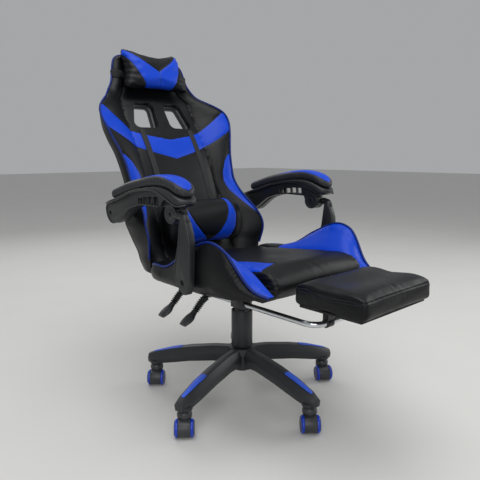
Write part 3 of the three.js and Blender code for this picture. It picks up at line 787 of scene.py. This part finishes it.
# elastic strap round the head of the back
strapZ = 1.0825
ringAtStrap = backRing(strapZ)
halfFront = back["frontCount"] // 2
loop = np.vstack([ringAtStrap[halfFront:], ringAtStrap[:halfFront]])
loop = evenPath(loop[::3], 150)
outward = loop - np.array([0, .535, strapZ])
outward[:, 2] = 0
outward /= np.linalg.norm(outward, axis=1)[:, None]
headBand = band("head_band", hug(loop, backCover, 0.0042), outward, 0.025, 0.0024)
fit(headBand, webbing, "black_leatherette", "back", "head_strap")

# lumbar pillow
lumbar = {"outline": [(.176, .496), (.160, .520), (.155, .555), (.162, .600), (.184, .629),
                      (.218, .642), (.250, .628), (.238, .570), (.222, .505), (.198, .490)],
          "half": .166, "plump": {"voxel": 0.0055, "pressure": 3.5, "cap": 0.007, "relax": 3}}


def padFromOutline(name, outline, half, edge, stations=26, around=48, power=2.4):
    # an outline of (y, z) points drawn out along x, closing in at both ends
    loop = evenPath(outline, around, closed=True)
    middle = loop.mean(axis=0)
    rings = []
    for x in np.sin(np.linspace(-1, 1, stations) * np.pi / 2) * half:
        nearEnd = min(max(0, abs(x) - (half - edge)) / edge, 1)
        share = max((1 - nearEnd**power) ** (1 / power), 0.25)
        layer = middle + (loop - middle) * share
        rings.append(np.column_stack([np.full(around, x), layer]))
    return skin(name, rings)


lumbarPillow = padFromOutline("lumbar_pillow_cover", lumbar["outline"], lumbar["half"], 0.055)
plump(lumbarPillow, lumbar["plump"])
points = pointsOf(lumbarPillow)
flatSpots = np.stack([np.abs(points[:, 0]), points[:, 2]], axis=1)
lumbarBlue = [(-.004, .480), (.004, .503), (.040, .535), (.068, .568), (.084, .598), (.092, .625),
              (.095, .67), (.104, .67), (.112, .625), (.117, .590), (.111, .545), (.092, .505),
              (.078, .470)]
lumbarFront = points[:, 1] < .215
blueBy = np.where(lumbarFront, insideBy(flatSpots, lumbarBlue), -farOff)
sew(lumbarPillow, blueBy, np.full(len(points), farOff), 0.0016, 0.0030)
fit(lumbarPillow, coatedFabric, "black_leatherette", "back", "lumbar_pillow")
print("pillows sewn")

# seat
seat = {"frontLean": 0.010, "farSpread": 0.014,
        "outline": [(.134, .419), (.138, .440), (.130, .460), (.060, .470), (-.080, .482),
                    (-.200, .492), (-.270, .492), (-.306, .480), (-.322, .458), (-.320, .436),
                    (-.300, .420), (-.200, .418), (-.050, .418), (.060, .418)],
        "half": .199, "plump": {"voxel": 0.006, "pressure": 3.0, "cap": 0.004, "relax": 2}}
seatPad = padFromOutline("seat_cover", seat["outline"], seat["half"], 0.016,
                         stations=40, around=90, power=2.2)
plump(seatPad, seat["plump"])
points, normals = pointsOf(seatPad), normalsOf(seatPad)
flatSpots = np.stack([np.abs(points[:, 0]), points[:, 1]], axis=1)
accent = [(.225, -.118), (.129, -.126), (.095, -.229), (.183, -.263), (.196, -.226), (.225, -.225)]
edgeStrip = [(.225, .020), (.194, .010), (.186, -.080), (.178, -.150), (.172, -.200), (.180, -.232),
             (.190, -.262), (.225, -.28)]
onTop = normals[:, 2] > .45
blueBy = np.where(points[:, 0] < 0, insideBy(flatSpots, accent), insideBy(flatSpots, edgeStrip))
blueBy = np.where(onTop, blueBy, -farOff)
tuck = near(flatSpots[:, 0], .192, .020) * near(points[:, 1], -.296, .030)
folds = 0.0013 * tuck * np.sin(points[:, 2] * 2 * np.pi / .014 + points[:, 1] * 60)
broad = 0.0016 * np.sin(points[:, 0] * 23 + 1.2) * np.sin(points[:, 1] * 17 + .4)
broad *= np.clip(normals[:, 2], 0, 1)
towardsFront = easeIn(np.clip((-.10 - points[:, 1]) / .20, 0, 1))
towardsFar = np.clip(points[:, 0] / seat["half"], 0, 1) ** 2
points[:, 0] += towardsFront * (seat["frontLean"] + seat["farSpread"] * towardsFar)
setPoints(seatPad, points + normals * (folds + broad)[:, None])
cornerSeam = np.where(points[:, 1] < -.25, np.abs(flatSpots[:, 0] - .190), farOff)
sew(seatPad, blueBy, cornerSeam, 0.0014, 0.0028)
fit(seatPad, coatedFabric, "black_leatherette", "seat", "seat_cushion")

# bolsters: y, x of the crest, crest height, bottom height, inner top height
bolster = {"stations": np.array([(.157, .236, .440, .412, .436), (.150, .243, .452, .408, .450),
                                 (.130, .253, .461, .408, .462), (.090, .264, .466, .412, .465),
                                 (.040, .272, .472, .415, .470), (-.010, .277, .496, .416, .474),
                                 (-.053, .279, .524, .416, .478), (-.100, .280, .549, .417, .482),
                                 (-.135, .280, .565, .418, .485), (-.168, .279, .574, .420, .488),
                                 (-.205, .279, .569, .423, .491), (-.236, .275, .553, .425, .492),
                                 (-.260, .268, .523, .428, .490), (-.284, .258, .487, .431, .478),
                                 (-.306, .249, .462, .434, .464), (-.328, .237, .448, .435, .450),
                                 (-.342, .224, .442, .436, .442)]),
    "inner": .2015, "plump": {"voxel": 0.005, "pressure": 3.0, "cap": 0.003, "relax": 1}}
stations = bolster["stations"]
sortedStations = stations[np.argsort(stations[:, 0])]


def bolsterSizes(y):
    return [through(sortedStations[:, 0], sortedStations[:, k], y) for k in range(1, 5)]


def bolsterRing(y):
    crestX, crestZ, lowZ, innerZ = bolsterSizes(y)
    inner = bolster["inner"]
    tall = crestZ - lowZ
    wide = crestX - inner
    ring = [(inner, lowZ + .004), (inner + .3 * wide, lowZ), (inner + .75 * wide, lowZ),
            (crestX - .004, lowZ + .04 * tall),
            (crestX + .005, lowZ + .28 * tall), (crestX + .009, lowZ + .55 * tall),
            (crestX + .006, lowZ + .82 * tall),
            (crestX, crestZ), (crestX - .012, crestZ - .006 * min(1, tall / .1)),
            (inner + .66 * wide, innerZ + .62 * (crestZ - innerZ) + .004),
            (inner + .33 * wide, innerZ + .30 * (crestZ - innerZ) + .004),
            (inner, innerZ - .002)]
    ring = np.array(ring)
    return np.column_stack([ring[:, 0], np.full(len(ring), y), ring[:, 1]])


bolsterRear, bolsterFront = stations[0, 0], stations[-1, 0]
ySteps = np.sin(np.linspace(-1, 1, 56) * np.pi / 2) * (bolsterRear - bolsterFront) / 2
ySteps += (bolsterRear + bolsterFront) / 2
bolsterLeft = skin("seat_bolster_cover_left", [evenPath(bolsterRing(y), 60, closed=True) for y in ySteps])
plump(bolsterLeft, bolster["plump"])
points, normals = pointsOf(bolsterLeft), normalsOf(bolsterLeft)
crestAt = bolsterSizes(points[:, 1])[0]
blueBy = np.clip(crestAt - points[:, 0] - .001, -farOff, farOff)
blueBy = np.minimum(blueBy, np.clip(.030 - points[:, 1], -farOff, farOff))
underneath = (normals[:, 2] < -.25) & (points[:, 1] > -.300)
blueBy = np.where(underneath | (points[:, 2] < bolsterSizes(points[:, 1])[2] + .008), -farOff, blueBy)
creases = near(points[:, 1], -.262, .020) * near(points[:, 2], .500, .035)
creases *= np.where(normals[:, 0] > .3, 1.0, 0.0)
creases *= 0.0008 * np.sin((points[:, 1] + points[:, 2]) * 2 * np.pi / .016)
setPoints(bolsterLeft, points + normals * creases[:, None])
sew(bolsterLeft, blueBy, np.full(len(points), farOff), 0.0012, 0.0028)
crestY = np.linspace(.150, -.340, 120)
crestX, crestZ = bolsterSizes(crestY)[:2]
crestLine = eased(hug(np.stack([crestX, crestY, crestZ], axis=1), bolsterLeft, 0.0028))
pipingLeft = tube("bolster_piping_left", crestLine, 0.0038)
bolsterRight = mirrored(bolsterLeft, "seat_bolster_cover_right")
pipingRight = mirrored(pipingLeft, "bolster_piping_right")
for side, cover, cord in (("left", bolsterLeft, pipingLeft), ("right", bolsterRight, pipingRight)):
    fit(cover, coatedFabric, "black_leatherette", "seat", "seat_bolster_" + side)
    fit(cord, bluePiping, "blue_leatherette", "seat")
print("seat sewn")

# footrest
footOutline = [(-.359, .424), (-.358, .447), (-.361, .470), (-.372, .474), (-.466, .477), (-.560, .474),
               (-.571, .470), (-.574, .447), (-.573, .424), (-.562, .420), (-.466, .420), (-.370, .420)]
footPad = padFromOutline("footrest_cover", footOutline, .161, .012, stations=40, around=80, power=2.0)
plump(footPad, {"voxel": 0.005, "pressure": 3.0, "cap": 0.004, "relax": 1})
points, normals = pointsOf(footPad), normalsOf(footPad)
rim = np.minimum(np.abs(points[:, 2] - .466), farOff)
onSide = normals[:, 2] < .6
puckers = 0.00006 * np.sin((points[:, 0] + points[:, 1]) * 2 * np.pi / .018)
puckers *= near(points[:, 2], .455, .008)
slack = 0.0014 * np.sin(points[:, 0] * 31) * np.sin(points[:, 1] * 27 + 1) * np.clip(normals[:, 2], 0, 1)
setPoints(footPad, points + normals * (puckers * onSide + slack)[:, None])
sew(footPad, np.full(len(points), -farOff), np.where(onSide, rim, farOff), 0.0016, 0.0024)
fit(footPad, coatedFabric, "black_leatherette", "footrest_flap", "footrest_pad")


def stitches(name, path, length, gapBetween, radius, body):
    # short thread stitches along a closed path, each a small six-sided capsule
    path = evenPath(path, 720, closed=True)
    path = np.vstack([path, path[:1]])
    along = np.concatenate([[0], np.cumsum(np.linalg.norm(np.diff(path, axis=0), axis=1))])
    hexagon = np.arange(6) * np.pi / 3
    total = along[-1]
    count = int(total / (length + gapBetween))
    points, faces = [], []
    for k in range(count):
        ends = [k * total / count, k * total / count + length]
        a, b = [np.array([np.interp(e % total, along, path[:, c]) for c in range(3)]) for e in ends]
        direction = (b - a) / max(np.linalg.norm(b - a), 1e-9)
        u = np.cross(direction, (0.3, 0.2, 1.0))
        u /= np.linalg.norm(u)
        v = np.cross(direction, u)
        start = len(points)
        inset = direction * length * .2
        for place, share in ((a, 0.45), (a + inset, 1), (b - inset, 1), (b, 0.45)):
            points += [place + radius * share * (u * math.cos(t) + v * math.sin(t)) for t in hexagon]
        faces += [tuple(start + i for i in f) for f in ringFaces(4, 6)]
    piece = meshPiece(name, points, faces)
    tidyNormals(piece)
    smooth(piece, 60)
    fit(piece, threadMaterial, "black_leatherette", body)
    return piece


threadMaterial = mouldedPlastic("polyester_thread",
                                {"cloud": 0.01, "deep": "#202226", "worn": "#303338", "rough": 0.6,
                                 "texture": 0.001, "bump": 0.4})
corners = [(-.156, -.366), (0, -.366), (.156, -.366), (.160, -.466), (.156, -.568), (0, -.568),
           (-.156, -.568), (-.160, -.466)]
# the line is spread past the pad's edge before it is laid on the surface
spread = {"grow": 1.3, "x": .175, "y": .12, "middle": -.466}
for number, height in ((1, .4712), (2, .4605)):
    rough = evenPath([(x, y, height) for x, y in corners], 400, closed=True)
    rough[:, 0] = np.clip(rough[:, 0] * spread["grow"], -spread["x"], spread["x"])
    outwards = np.clip((rough[:, 1] - spread["middle"]) * spread["grow"], -spread["y"], spread["y"])
    rough[:, 1] = outwards + spread["middle"]
    laid = eased(hug(rough, footPad, 0.0002), 14)
    stitches("footrest_stitches_%d" % number, laid, .0032, .0012, .0005, "footrest_flap")

# chromed U tube of the footrest
rail = {"x": .125, "z": .366, "rear": .070, "front": -.412, "bend": .040, "radius": .008}
turn = np.linspace(0, np.pi / 2, 10)
bendX, bendY = rail["x"] - rail["bend"], rail["front"] + rail["bend"]
corner = np.stack([bendX + rail["bend"] * np.cos(turn), bendY - rail["bend"] * np.sin(turn)], axis=1)
halfPath = np.vstack([[(rail["x"], rail["rear"])], corner])
railPath = np.vstack([halfPath, halfPath[::-1] * np.array([-1, 1])])
railPath = np.column_stack([railPath, np.full(len(railPath), rail["z"])])
footRail = tube("footrest_rail", railPath, rail["radius"], sides=20)
fit(footRail, chrome, "chrome", "footrest_slider", "footrest_frame")
print("footrest made")

# armrests
arm = {"line": [(-.134, .666), (-.110, .681), (-.075, .698), (-.030, .708), (.020, .707), (.085, .697),
                (.150, .684), (.220, .664), (.285, .645)],
       "x": .298, "half": .0345, "thick": .030, "front": -.119, "rear": .250, "around": 44,
       "plump": {"voxel": 0.004, "pressure": 2.0, "cap": 0.002, "relax": 1}}
armLine = np.array(arm["line"])


def padLow(y):
    return through(armLine[:, 0], armLine[:, 1], y)


def armPadRing(y):
    nearEnd = min(max((y - arm["front"]) / .040, 0), 1)
    nearRear = min(max((arm["rear"] - y) / .022, 0), 1)
    wide = arm["half"] * (1 - (1 - nearEnd) ** 2.4) ** .5 * (1 - (1 - nearRear) ** 2.4) ** .5
    tall = arm["thick"] * (1 - (1 - nearEnd) ** 3.0) ** .45 * (1 - (1 - nearRear) ** 3.0) ** .45
    turns = np.linspace(0, 2 * np.pi, arm["around"], endpoint=False)
    shapeX = np.sign(np.cos(turns)) * np.abs(np.cos(turns)) ** .55
    shapeZ = np.sign(np.sin(turns)) * np.abs(np.sin(turns)) ** .62
    low = padLow(np.clip(y, armLine[0, 0], armLine[-1, 0]))
    z = low + .0015 + arm["thick"] * .5 + tall * .5 * shapeZ + .002 * (shapeZ > 0) * (1 - shapeX**2)
    return np.column_stack([arm["x"] + wide * shapeX, np.full(arm["around"], y), z])


padSteps = np.concatenate([arm["front"] + .04 * (1 - np.cos(np.linspace(.05, np.pi / 2, 10))),
                           np.linspace(-.074, .222, 40),
                           arm["rear"] - .022 * (1 - np.cos(np.linspace(np.pi / 2, .05, 8)))])
padLeft = skin("armrest_cover_left", [armPadRing(y) for y in padSteps])
plump(padLeft, arm["plump"])
points, normals = pointsOf(padLeft), normalsOf(padLeft)
spots = points[:, :2]
padBlue = [(.298, -.117), (.283, -.111), (.273, -.094), (.268, -.06), (.268, .02), (.276, .09),
           (.292, .150), (.300, .160), (.308, .130), (.318, .06), (.325, -.02), (.327, -.066),
           (.322, -.096), (.312, -.111)]
blueBy = np.where(normals[:, 2] > .2, insideBy(spots, padBlue), -farOff)
ruffle = 0.0007 * np.sin(points[:, 1] * 2 * np.pi / .011)
ruffle *= near(points[:, 2] - padLow(points[:, 1]), .018, .008)
setPoints(padLeft, points + normals * (ruffle * (np.abs(normals[:, 0]) > .4))[:, None])
sew(padLeft, blueBy, np.full(len(points), farOff), 0.0012, 0.0024)
padRight = mirrored(padLeft, "armrest_cover_right")
for side, cover in (("left", padLeft), ("right", padRight)):
    fit(cover, padBand, "armrest_pad", "arm_" + side, "armrest_pad_" + side)


# moulded beam: a deep tray under the pad, a web, and an outer fascia pierced by rib windows
beam = {"trayLow": [(-.125, .660), (-.104, .657), (-.080, .664), (-.050, .677), (-.009, .691),
                    (.064, .694), (.128, .683), (.202, .659), (.292, .636)],
        "fascia": [(.288, .612), (.291, .628), (.286, .642), (.220, .662), (.150, .681), (.085, .695),
                   (.020, .703), (-.020, .702), (-.044, .690), (-.040, .678), (-.024, .669),
                   (-.018, .657), (-.010, .6545), (.060, .6555), (.110, .6505), (.160, .634),
                   (.205, .603), (.232, .587), (.262, .585)],
        "web": [(-.122, .668), (-.084, .666), (-.078, .650), (-.081, .638), (-.077, .624),
                (-.067, .614), (-.054, .611), (-.041, .614), (-.031, .624), (-.027, .638),
                (-.020, .654), (.060, .655), (.110, .650), (.160, .636), (.205, .606), (.232, .588),
                (.262, .586), (.288, .612), (.286, .640), (.220, .660), (.150, .680), (.085, .694),
                (.020, .702), (-.030, .703), (-.075, .690), (-.110, .672)],
        "front": -.1235, "rearY": .105, "webX": (.277, .302), "thinX": (.3120, .3225),
        "backingX": (.2995, .3130), "windows": 4, "windowPitch": .0275, "windowsFrom": -.0270}


def plate(name, outline, low, high, holes=(), bevel=0.0016, segments=3):
    # an outline of (y, z) corners pushed through in x, pierced and with its edges rounded over
    deselectAll()
    bpy.ops.mesh.primitive_circle_add(vertices=len(outline), fill_type="NGON")
    piece = bpy.context.object
    piece.name = name
    for vertex, (y, z) in zip(piece.data.vertices, outline):
        vertex.co = Vector((low, y, z)) + Vector(column)
    bpy.ops.object.mode_set(mode="EDIT")
    bpy.ops.mesh.select_all(action="SELECT")
    bpy.ops.mesh.extrude_region_move(TRANSFORM_OT_translate={"value": (high - low, 0, 0)})
    bpy.ops.mesh.select_all(action="SELECT")
    bpy.ops.mesh.normals_make_consistent(inside=False)
    bpy.ops.object.mode_set(mode="OBJECT")
    piece.matrix_world = Matrix.Identity(4)
    for hole in holes:
        tool = plate(name + "_tool", hole, low - .05, high + .05, bevel=0)
        cut = piece.modifiers.new("Hole", "BOOLEAN")
        cut.operation, cut.solver, cut.object = "DIFFERENCE", "EXACT", tool
        applyModifiers(piece)
        bpy.data.objects.remove(tool)
    if bevel:
        edge = piece.modifiers.new("Rounding", "BEVEL")
        edge.width, edge.segments = bevel, segments
        edge.limit_method, edge.angle_limit = "ANGLE", math.radians(28)
        applyModifiers(piece)
    smooth(piece, 35)
    return piece


def circleOutline(y, z, radius, count=24):
    turns = np.linspace(0, 2 * np.pi, count, endpoint=False)
    return [(y + radius * math.cos(a), z + radius * math.sin(a)) for a in turns]


def turnedX(name, profile, y, z, count=32):
    # a body of revolution about a line along x, from (radius, x) points
    piece = skin(name, [[(x, *spot) for spot in circleOutline(y, z, r, count)] for r, x in profile])
    smooth(piece, 35)
    return piece


def trayHalf(y):
    # half the tray's width: rounded in front, drawn in behind the pad towards the bolt
    nearEnd = np.clip((y - beam["front"]) / .038, 0, 1)
    nearRear = np.clip((.292 - y) / .050, 0, 1)
    rearShare = .45 + .55 * (1 - (1 - nearRear) ** 2.0) ** .5
    return arm["half"] * 1.04 * (1 - (1 - nearEnd) ** 2.4) ** .5 * rearShare


def trayRing(y):
    tip = min(max((y - beam["front"]) / .03, 0), 1)
    top = padLow(np.clip(y, armLine[0, 0], armLine[-1, 0])) + .0035
    lowLine = np.array(beam["trayLow"])
    low = through(lowLine[:, 0], lowLine[:, 1], y)
    low = top - (top - low) * (0.35 + 0.65 * tip ** .5)
    turns = np.linspace(0, 2 * np.pi, arm["around"], endpoint=False)
    across = np.sign(np.cos(turns)) * np.abs(np.cos(turns)) ** .5
    up = np.sign(np.sin(turns)) * np.abs(np.sin(turns)) ** .45
    narrow = 1 - .12 * (up < 0) * np.abs(up) ** 2
    return np.column_stack([arm["x"] + trayHalf(y) * across * narrow, np.full(arm["around"], y),
                            (top + low) / 2 + (top - low) / 2 * up])


traySteps = np.concatenate([-.123 + .04 * (1 - np.cos(np.linspace(.05, np.pi / 2, 10))),
                            np.linspace(-.076, .270, 44),
                            .291 - .018 * (1 - np.cos(np.linspace(np.pi / 2, .05, 7)))])
holes = []
for i in range(1, beam["windows"] + 1):
    y = beam["windowsFrom"] + beam["windowPitch"] * i
    roof = .6820 - .0008 * i * (i - 1.5)
    low = .6592 - .0004 * i * (i - 1)
    holes.append([(y - .0112, low), (y - .0082, roof), (y + .0156, roof - .0006), (y + .0126, low - .0005)])
trayLeft = skin("arm_tray_left", [trayRing(y) for y in traySteps])
smooth(trayLeft, 45)
opening = [(-.010, .6600), (-.007, .6800), (.040, .6800), (.098, .6740), (.094, .6560), (.040, .6600)]
webLeft = plate("arm_web_left", beam["web"], *beam["webX"], holes=[opening])
fasciaLeft = plate("arm_fascia_left", beam["fascia"], *beam["thinX"],
                   holes=holes + [circleOutline(.264, .617, .0060)])
backing = [(y, z - .001) for y, z in beam["fascia"] if y > beam["rearY"]]
backingLeft = plate("arm_backing_left", backing, *beam["backingX"], bevel=0)
rimLine = [(-.121, .667), (-.116, .665), (-.104, .664), (-.080, .672), (-.050, .685), (-.009, .698),
           (.064, .7005), (.128, .6895), (.202, .666), (.250, .654), (.280, .6455)]
rimPath = evenPath([(arm["x"] + trayHalf(y) + .0005, y, z) for y, z in rimLine], 90)
rimLeft = tube("arm_rim_left", rimPath, 0.0024)
lipLine = [(-.030, .7010), (.020, .7010), (.085, .6935), (.150, .6795), (.220, .6600), (.284, .6405),
           (.2895, .628), (.2865, .612), (.261, .5865), (.233, .5885), (.206, .6045), (.161, .6350),
           (.111, .6515), (.060, .6565), (-.008, .6555)]
lipLeft = tube("arm_lip_left", evenPath([(.3222, y, z) for y, z in lipLine], 140), 0.0022, sides=8)
bossProfile = [(.002, .2475), (.019, .2475), (.020, .249), (.020, .278), (.002, .278)]
bossLeft = turnedX("arm_boss_left", bossProfile, .258, .618)
hub = {"y": -.054, "z": .638}
outerDisc = [(.0042, .3030), (.0262, .3030), (.0270, .3040), (.0270, .3150), (.0262, .3166),
             (.0235, .3172), (.0215, .3166), (.0205, .3152), (.0120, .3152), (.0105, .3160),
             (.0098, .3176), (.0082, .3182), (.0068, .3176), (.0062, .3160), (.0058, .3120), (.0042, .3100)]
discLeft = turnedX("arm_disc_left", outerDisc, hub["y"], hub["z"])
innerDisc = [(.0042, .2768), (.0062, .2752), (.0068, .2742), (.0098, .2742), (.0105, .2752),
             (.0205, .2755), (.0235, .2742), (.0262, .2748), (.0270, .2762), (.0270, .2800), (.0042, .2800)]
innerDiscLeft = turnedX("arm_disc_inner_left", innerDisc, hub["y"], hub["z"])
post = {"outline": [(-.1310, .450), (-.1345, .500), (-.1370, .555), (-.1335, .588), (-.1245, .614),
                    (-.1150, .630), (-.1030, .633), (-.0965, .626), (-.0930, .600), (-.0875, .558),
                    (-.0790, .526), (-.0705, .502), (-.0672, .486), (-.0690, .468), (-.0790, .447),
                    (-.0950, .429), (-.1090, .4215), (-.1210, .425)],
        "x": (.2935, .3165), "ribs": 4, "ribPitch": .0088, "bolt": (-.103, .455)}
postLeft = plate("arm_post_left", post["outline"], *post["x"],
                 holes=[circleOutline(*post["bolt"], .0062)], bevel=0.0042)
neckLine = [(.3085, -.070, .6385), (.3085, -.082, .6375), (.3085, -.094, .6370),
            (.3075, -.103, .6345), (.3065, -.109, .6280), (.3055, -.111, .616)]
neckSpread = through([0, .25, .32, .40, .75, 1], [.0106, .0110, .0125, .0114, .0122, .0110],
                     np.linspace(0, 1, 40))
neckLeft = tube("arm_neck_left", evenPath(neckLine, 40), neckSpread, sides=20)
smooth(neckLeft, 40)
ribsMade = []
for i in range(post["ribs"]):
    lean = post["ribPitch"] * i
    line = [(.3158, -.1190 + lean * .5, .6130), (.3160, -.1265 + lean, .580),
            (.3160, -.1235 + lean * 1.05, .530), (.3156, -.1180 + lean * 1.05, .486)]
    ribsMade.append(tube("arm_post_rib_%d_left" % (i + 1), evenPath(line, 24), 0.0013, sides=8))
postEdge = [(.3150, -.0985, .626), (.3155, -.0945, .600), (.3158, -.0890, .558), (.3158, -.0805, .527),
            (.3158, -.0722, .502), (.3156, -.0690, .486), (.3155, -.0705, .469), (.3150, -.0800, .4485),
            (.3145, -.0955, .4310)]
postRimLeft = tube("arm_post_rim_left", evenPath(postEdge, 70), 0.0024)
socket = [(.0030, .3040), (.0064, .3040), (.0066, .3160), (.0074, .3174), (.0086, .3172),
          (.0092, .3160), (.0090, .3000), (.0030, .3000)]
socketLeft = turnedX("arm_bolt_socket_left", socket, *post["bolt"], 24)


def sided(piece, side):
    # the left piece itself, or its mirror image
    return piece if side == "left" else mirrored(piece, piece.name.replace("_left", "_right"))


for side in ("left", "right"):
    fit(sided(trayLeft, side), armNylon, "black_nylon", "arm_" + side, "armrest_beam_" + side)
    for piece in (webLeft, backingLeft, fasciaLeft, rimLeft, lipLeft, bossLeft):
        fit(sided(piece, side), armNylon, "black_nylon", "arm_" + side)
    fit(sided(postLeft, side), armNylon, "black_nylon", "post_" + side, "armrest_post_" + side)
    for piece in (neckLeft, discLeft, innerDiscLeft, postRimLeft, socketLeft, *ribsMade):
        fit(sided(piece, side), armNylon, "black_nylon", "post_" + side)
    refined("armrest_pivot_" + side, "arm_pivot_" + side, paintedSteel, "black_steel", "post_" + side, 0.0006)
    refined("armrest_bolt_" + side, "arm_bolt_" + side, paintedSteel, "black_steel", "seat", 0.0008)
print("armrests made")

# base, lift, mechanism
capProfile = [(.84, -.0050), (.84, .0002), (.82, .0008), (.76, .0010), (.70, .0002), (.30, -.0002),
              (.22, .0008), (.04, .0012)]
collar = {"arm": [(.008, .0745), (.0215, .0745), (.0240, .0765), (.0245, .0800), (.0240, .0860),
                  (.0150, .0900), (.008, .0900)],
          "hood": [(.007, .0500), (.0205, .0500), (.0222, .0560), (.0218, .0640), (.0190, .0695),
                   (.0150, .0728), (.007, .0730)]}


def wheelCap(name, tyres, axis, count=40):
    # a dished black cap inside a wheel's blue rim, on the side that axis points to
    points = pointsOf(tyres)
    middle = (points.min(axis=0) + points.max(axis=0)) / 2
    outer = ((points - middle) @ axis).max()
    radius = (points[:, 2].max() - points[:, 2].min()) / 2
    across = np.cross(axis, (0, 0, 1))
    rings = []
    for share, lift in capProfile:
        rings.append([middle + axis * (outer + lift) + radius * share
                      * (across * math.cos(a) + np.array([0, 0, math.sin(a)]))
                      for a in np.linspace(0, 2 * np.pi, count, endpoint=False)])
    piece = skin(name, rings)
    smooth(piece, 40)
    return piece


def turnedZ(name, profile, x, y, count=32):
    # a body of revolution about an upright line, from (radius, z) points
    piece = skin(name, [[(*spot, z) for spot in circleOutline(x, y, r, count)] for r, z in profile])
    smooth(piece, 35)
    return piece


guideShare, boardShare = 0.35, 0.965  # short guide sleeves; the board sits inside the pad's edge
sleeveSpread, frontShrink, sideShrink = 1.10, 0.60, 0.80  # a loose sleeve; the pressing is small in front
refined("base_star", "base_star_moulding", nylon, "black_nylon", "base", 0.0035, 3, 18)
for i in range(1, 6):
    refined("base_inlay_%d" % i, "base_inlay_grip_%d" % i, inlayGrain, "blue_inlay", "base", 0.0012)
    refined("caster_hood_%d" % i, "caster_fork_%d" % i, hoodNylon, "black_nylon", "caster_%d" % i, 0.002)
    tyres = refined("caster_wheels_%d" % i, "caster_tyres_%d" % i, wheelBlue, "wheel_plastic",
                    "wheels_%d" % i, 0.0015)
    axis = [j["axis"] for j in frame["joints"] if j["name"] == "wheels_%d_roll" % i][0]
    for side, sign in (("inner", 1), ("outer", -1)):
        fit(wheelCap("caster_cap_%s_%d" % (side, i), tyres, np.array(axis) * sign), hoodNylon,
            "black_nylon", "wheels_%d" % i)
    refined("caster_stem_%d" % i, "caster_pin_%d" % i, chrome, "chrome", "caster_%d" % i, 0.0005)
    low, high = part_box("caster_stem_%d" % i)
    at = [(low[k] + high[k]) / 2 - column[k] for k in (0, 1)]
    fit(turnedZ("caster_collar_%d" % i, collar["arm"], *at), nylon, "black_nylon", "base")
    fit(turnedZ("caster_dome_%d" % i, collar["hood"], *at), hoodNylon, "black_nylon", "caster_%d" % i)

refined("gas_cylinder", "lift_cylinder", paintedSteel, "black_steel", "base", 0.001)
refined("gas_piston", "lift_piston", chrome, "chrome", "lift", 0.0008)
refined("lift_cover_lower", "lift_sleeve_lower", nylon, "black_nylon", "base", 0.0008)
upperSleeve = refined("lift_cover_upper", "lift_sleeve_upper", nylon, "black_nylon", "lift", 0.0008)
points = pointsOf(upperSleeve)
setPoints(upperSleeve, points * np.array([sleeveSpread, sleeveSpread, 1]))
mechanism = refined("seat_mechanism", "tilt_mechanism", paintedSteel, "black_steel", "seat", 0.003)
points = pointsOf(mechanism)
drawnIn = np.where(points[:, 1] < -.05, -.05 + (points[:, 1] + .05) * frontShrink, points[:, 1])
setPoints(mechanism, np.column_stack([points[:, 0] * sideShrink, drawnIn, points[:, 2]]))
refined("seat_pan", "seat_board", plywood, "plywood", "seat", 0.002)
refined("recline_shaft", "hinge_shaft", paintedSteel, "black_steel", "seat", 0.0008)
guides = refined("footrest_guides", "rail_guides", paintedSteel, "black_steel", "seat", 0.001)
points = pointsOf(guides)
rearEnd = points[:, 1].max()
setPoints(guides, np.column_stack([points[:, 0], rearEnd + (points[:, 1] - rearEnd) * guideShare,
                                   points[:, 2]]))
refined("footrest_bracket", "flap_bracket", paintedSteel, "black_steel", "footrest_flap", 0.001)
board = refined("footrest_board", "flap_board", plywood, "plywood", "footrest_flap", 0.0008)
points = pointsOf(board)
middle = (points.min(axis=0) + points.max(axis=0)) / 2
setPoints(board, middle + (points - middle) * np.array([boardShare, boardShare, 1]))
for side in ("left", "right"):
    refined("recline_bracket_" + side, "hinge_bracket_" + side, paintedSteel, "black_steel", "seat", 0.0008)
    refined("back_hinge_lug_" + side, "hinge_lug_" + side, paintedSteel, "black_steel", "back", 0.0008)

# levers: a thin rod, a ribbed boot, then a flat drooping paddle
lever = {"path": [(-.2005, .384), (-.212, .379), (-.224, .368), (-.236, .356), (-.248, .345),
                  (-.262, .334), (-.276, .3255), (-.2865, .319)],
         "wide": [.0085, .0092, .0096, .0092, .0105, .0185, .0190, .0150],
         "thick": [.0085, .0092, .0096, .0090, .0080, .0078, .0070, .0045],
         "ribPitch": .0062, "ribDepth": .0024, "ribsEnd": .50}


def leverGrip(name, y):
    path = np.array(lever["path"])
    count = 90
    line = evenPath(path, count)
    share = np.linspace(0, 1, count)
    knots = np.linspace(0, 1, len(path))
    wide, thick = through(knots, lever["wide"], share), through(knots, lever["thick"], share)
    length = np.concatenate([[0], np.cumsum(np.linalg.norm(np.diff(line, axis=0), axis=1))])
    ribs = lever["ribDepth"] * np.cos(length * 2 * np.pi / lever["ribPitch"]) * (share < lever["ribsEnd"])
    along = np.gradient(line, axis=0)
    along /= np.linalg.norm(along, axis=1)[:, None]
    rings = []
    for k in range(count):
        up = np.array([-along[k, 1], along[k, 0]])
        rings.append([(line[k, 0] + up[0] * (thick[k] + ribs[k]) * math.sin(a),
                       y + (wide[k] + ribs[k]) * math.cos(a),
                       line[k, 1] + up[1] * (thick[k] + ribs[k]) * math.sin(a))
                      for a in np.linspace(0, 2 * np.pi, 20, endpoint=False)])
    piece = skin(name, rings)
    smooth(piece, 50)
    return piece


for leverName, leverY in (("height_lever", -.061), ("recline_lever", .048)):
    refined(leverName + "_rod", leverName + "_wire", chrome, "chrome", leverName, 0.0)
    fit(leverGrip(leverName + "_handle", leverY), armNylon, "black_nylon", leverName, leverName + "_grip")
print("base and mechanism made")
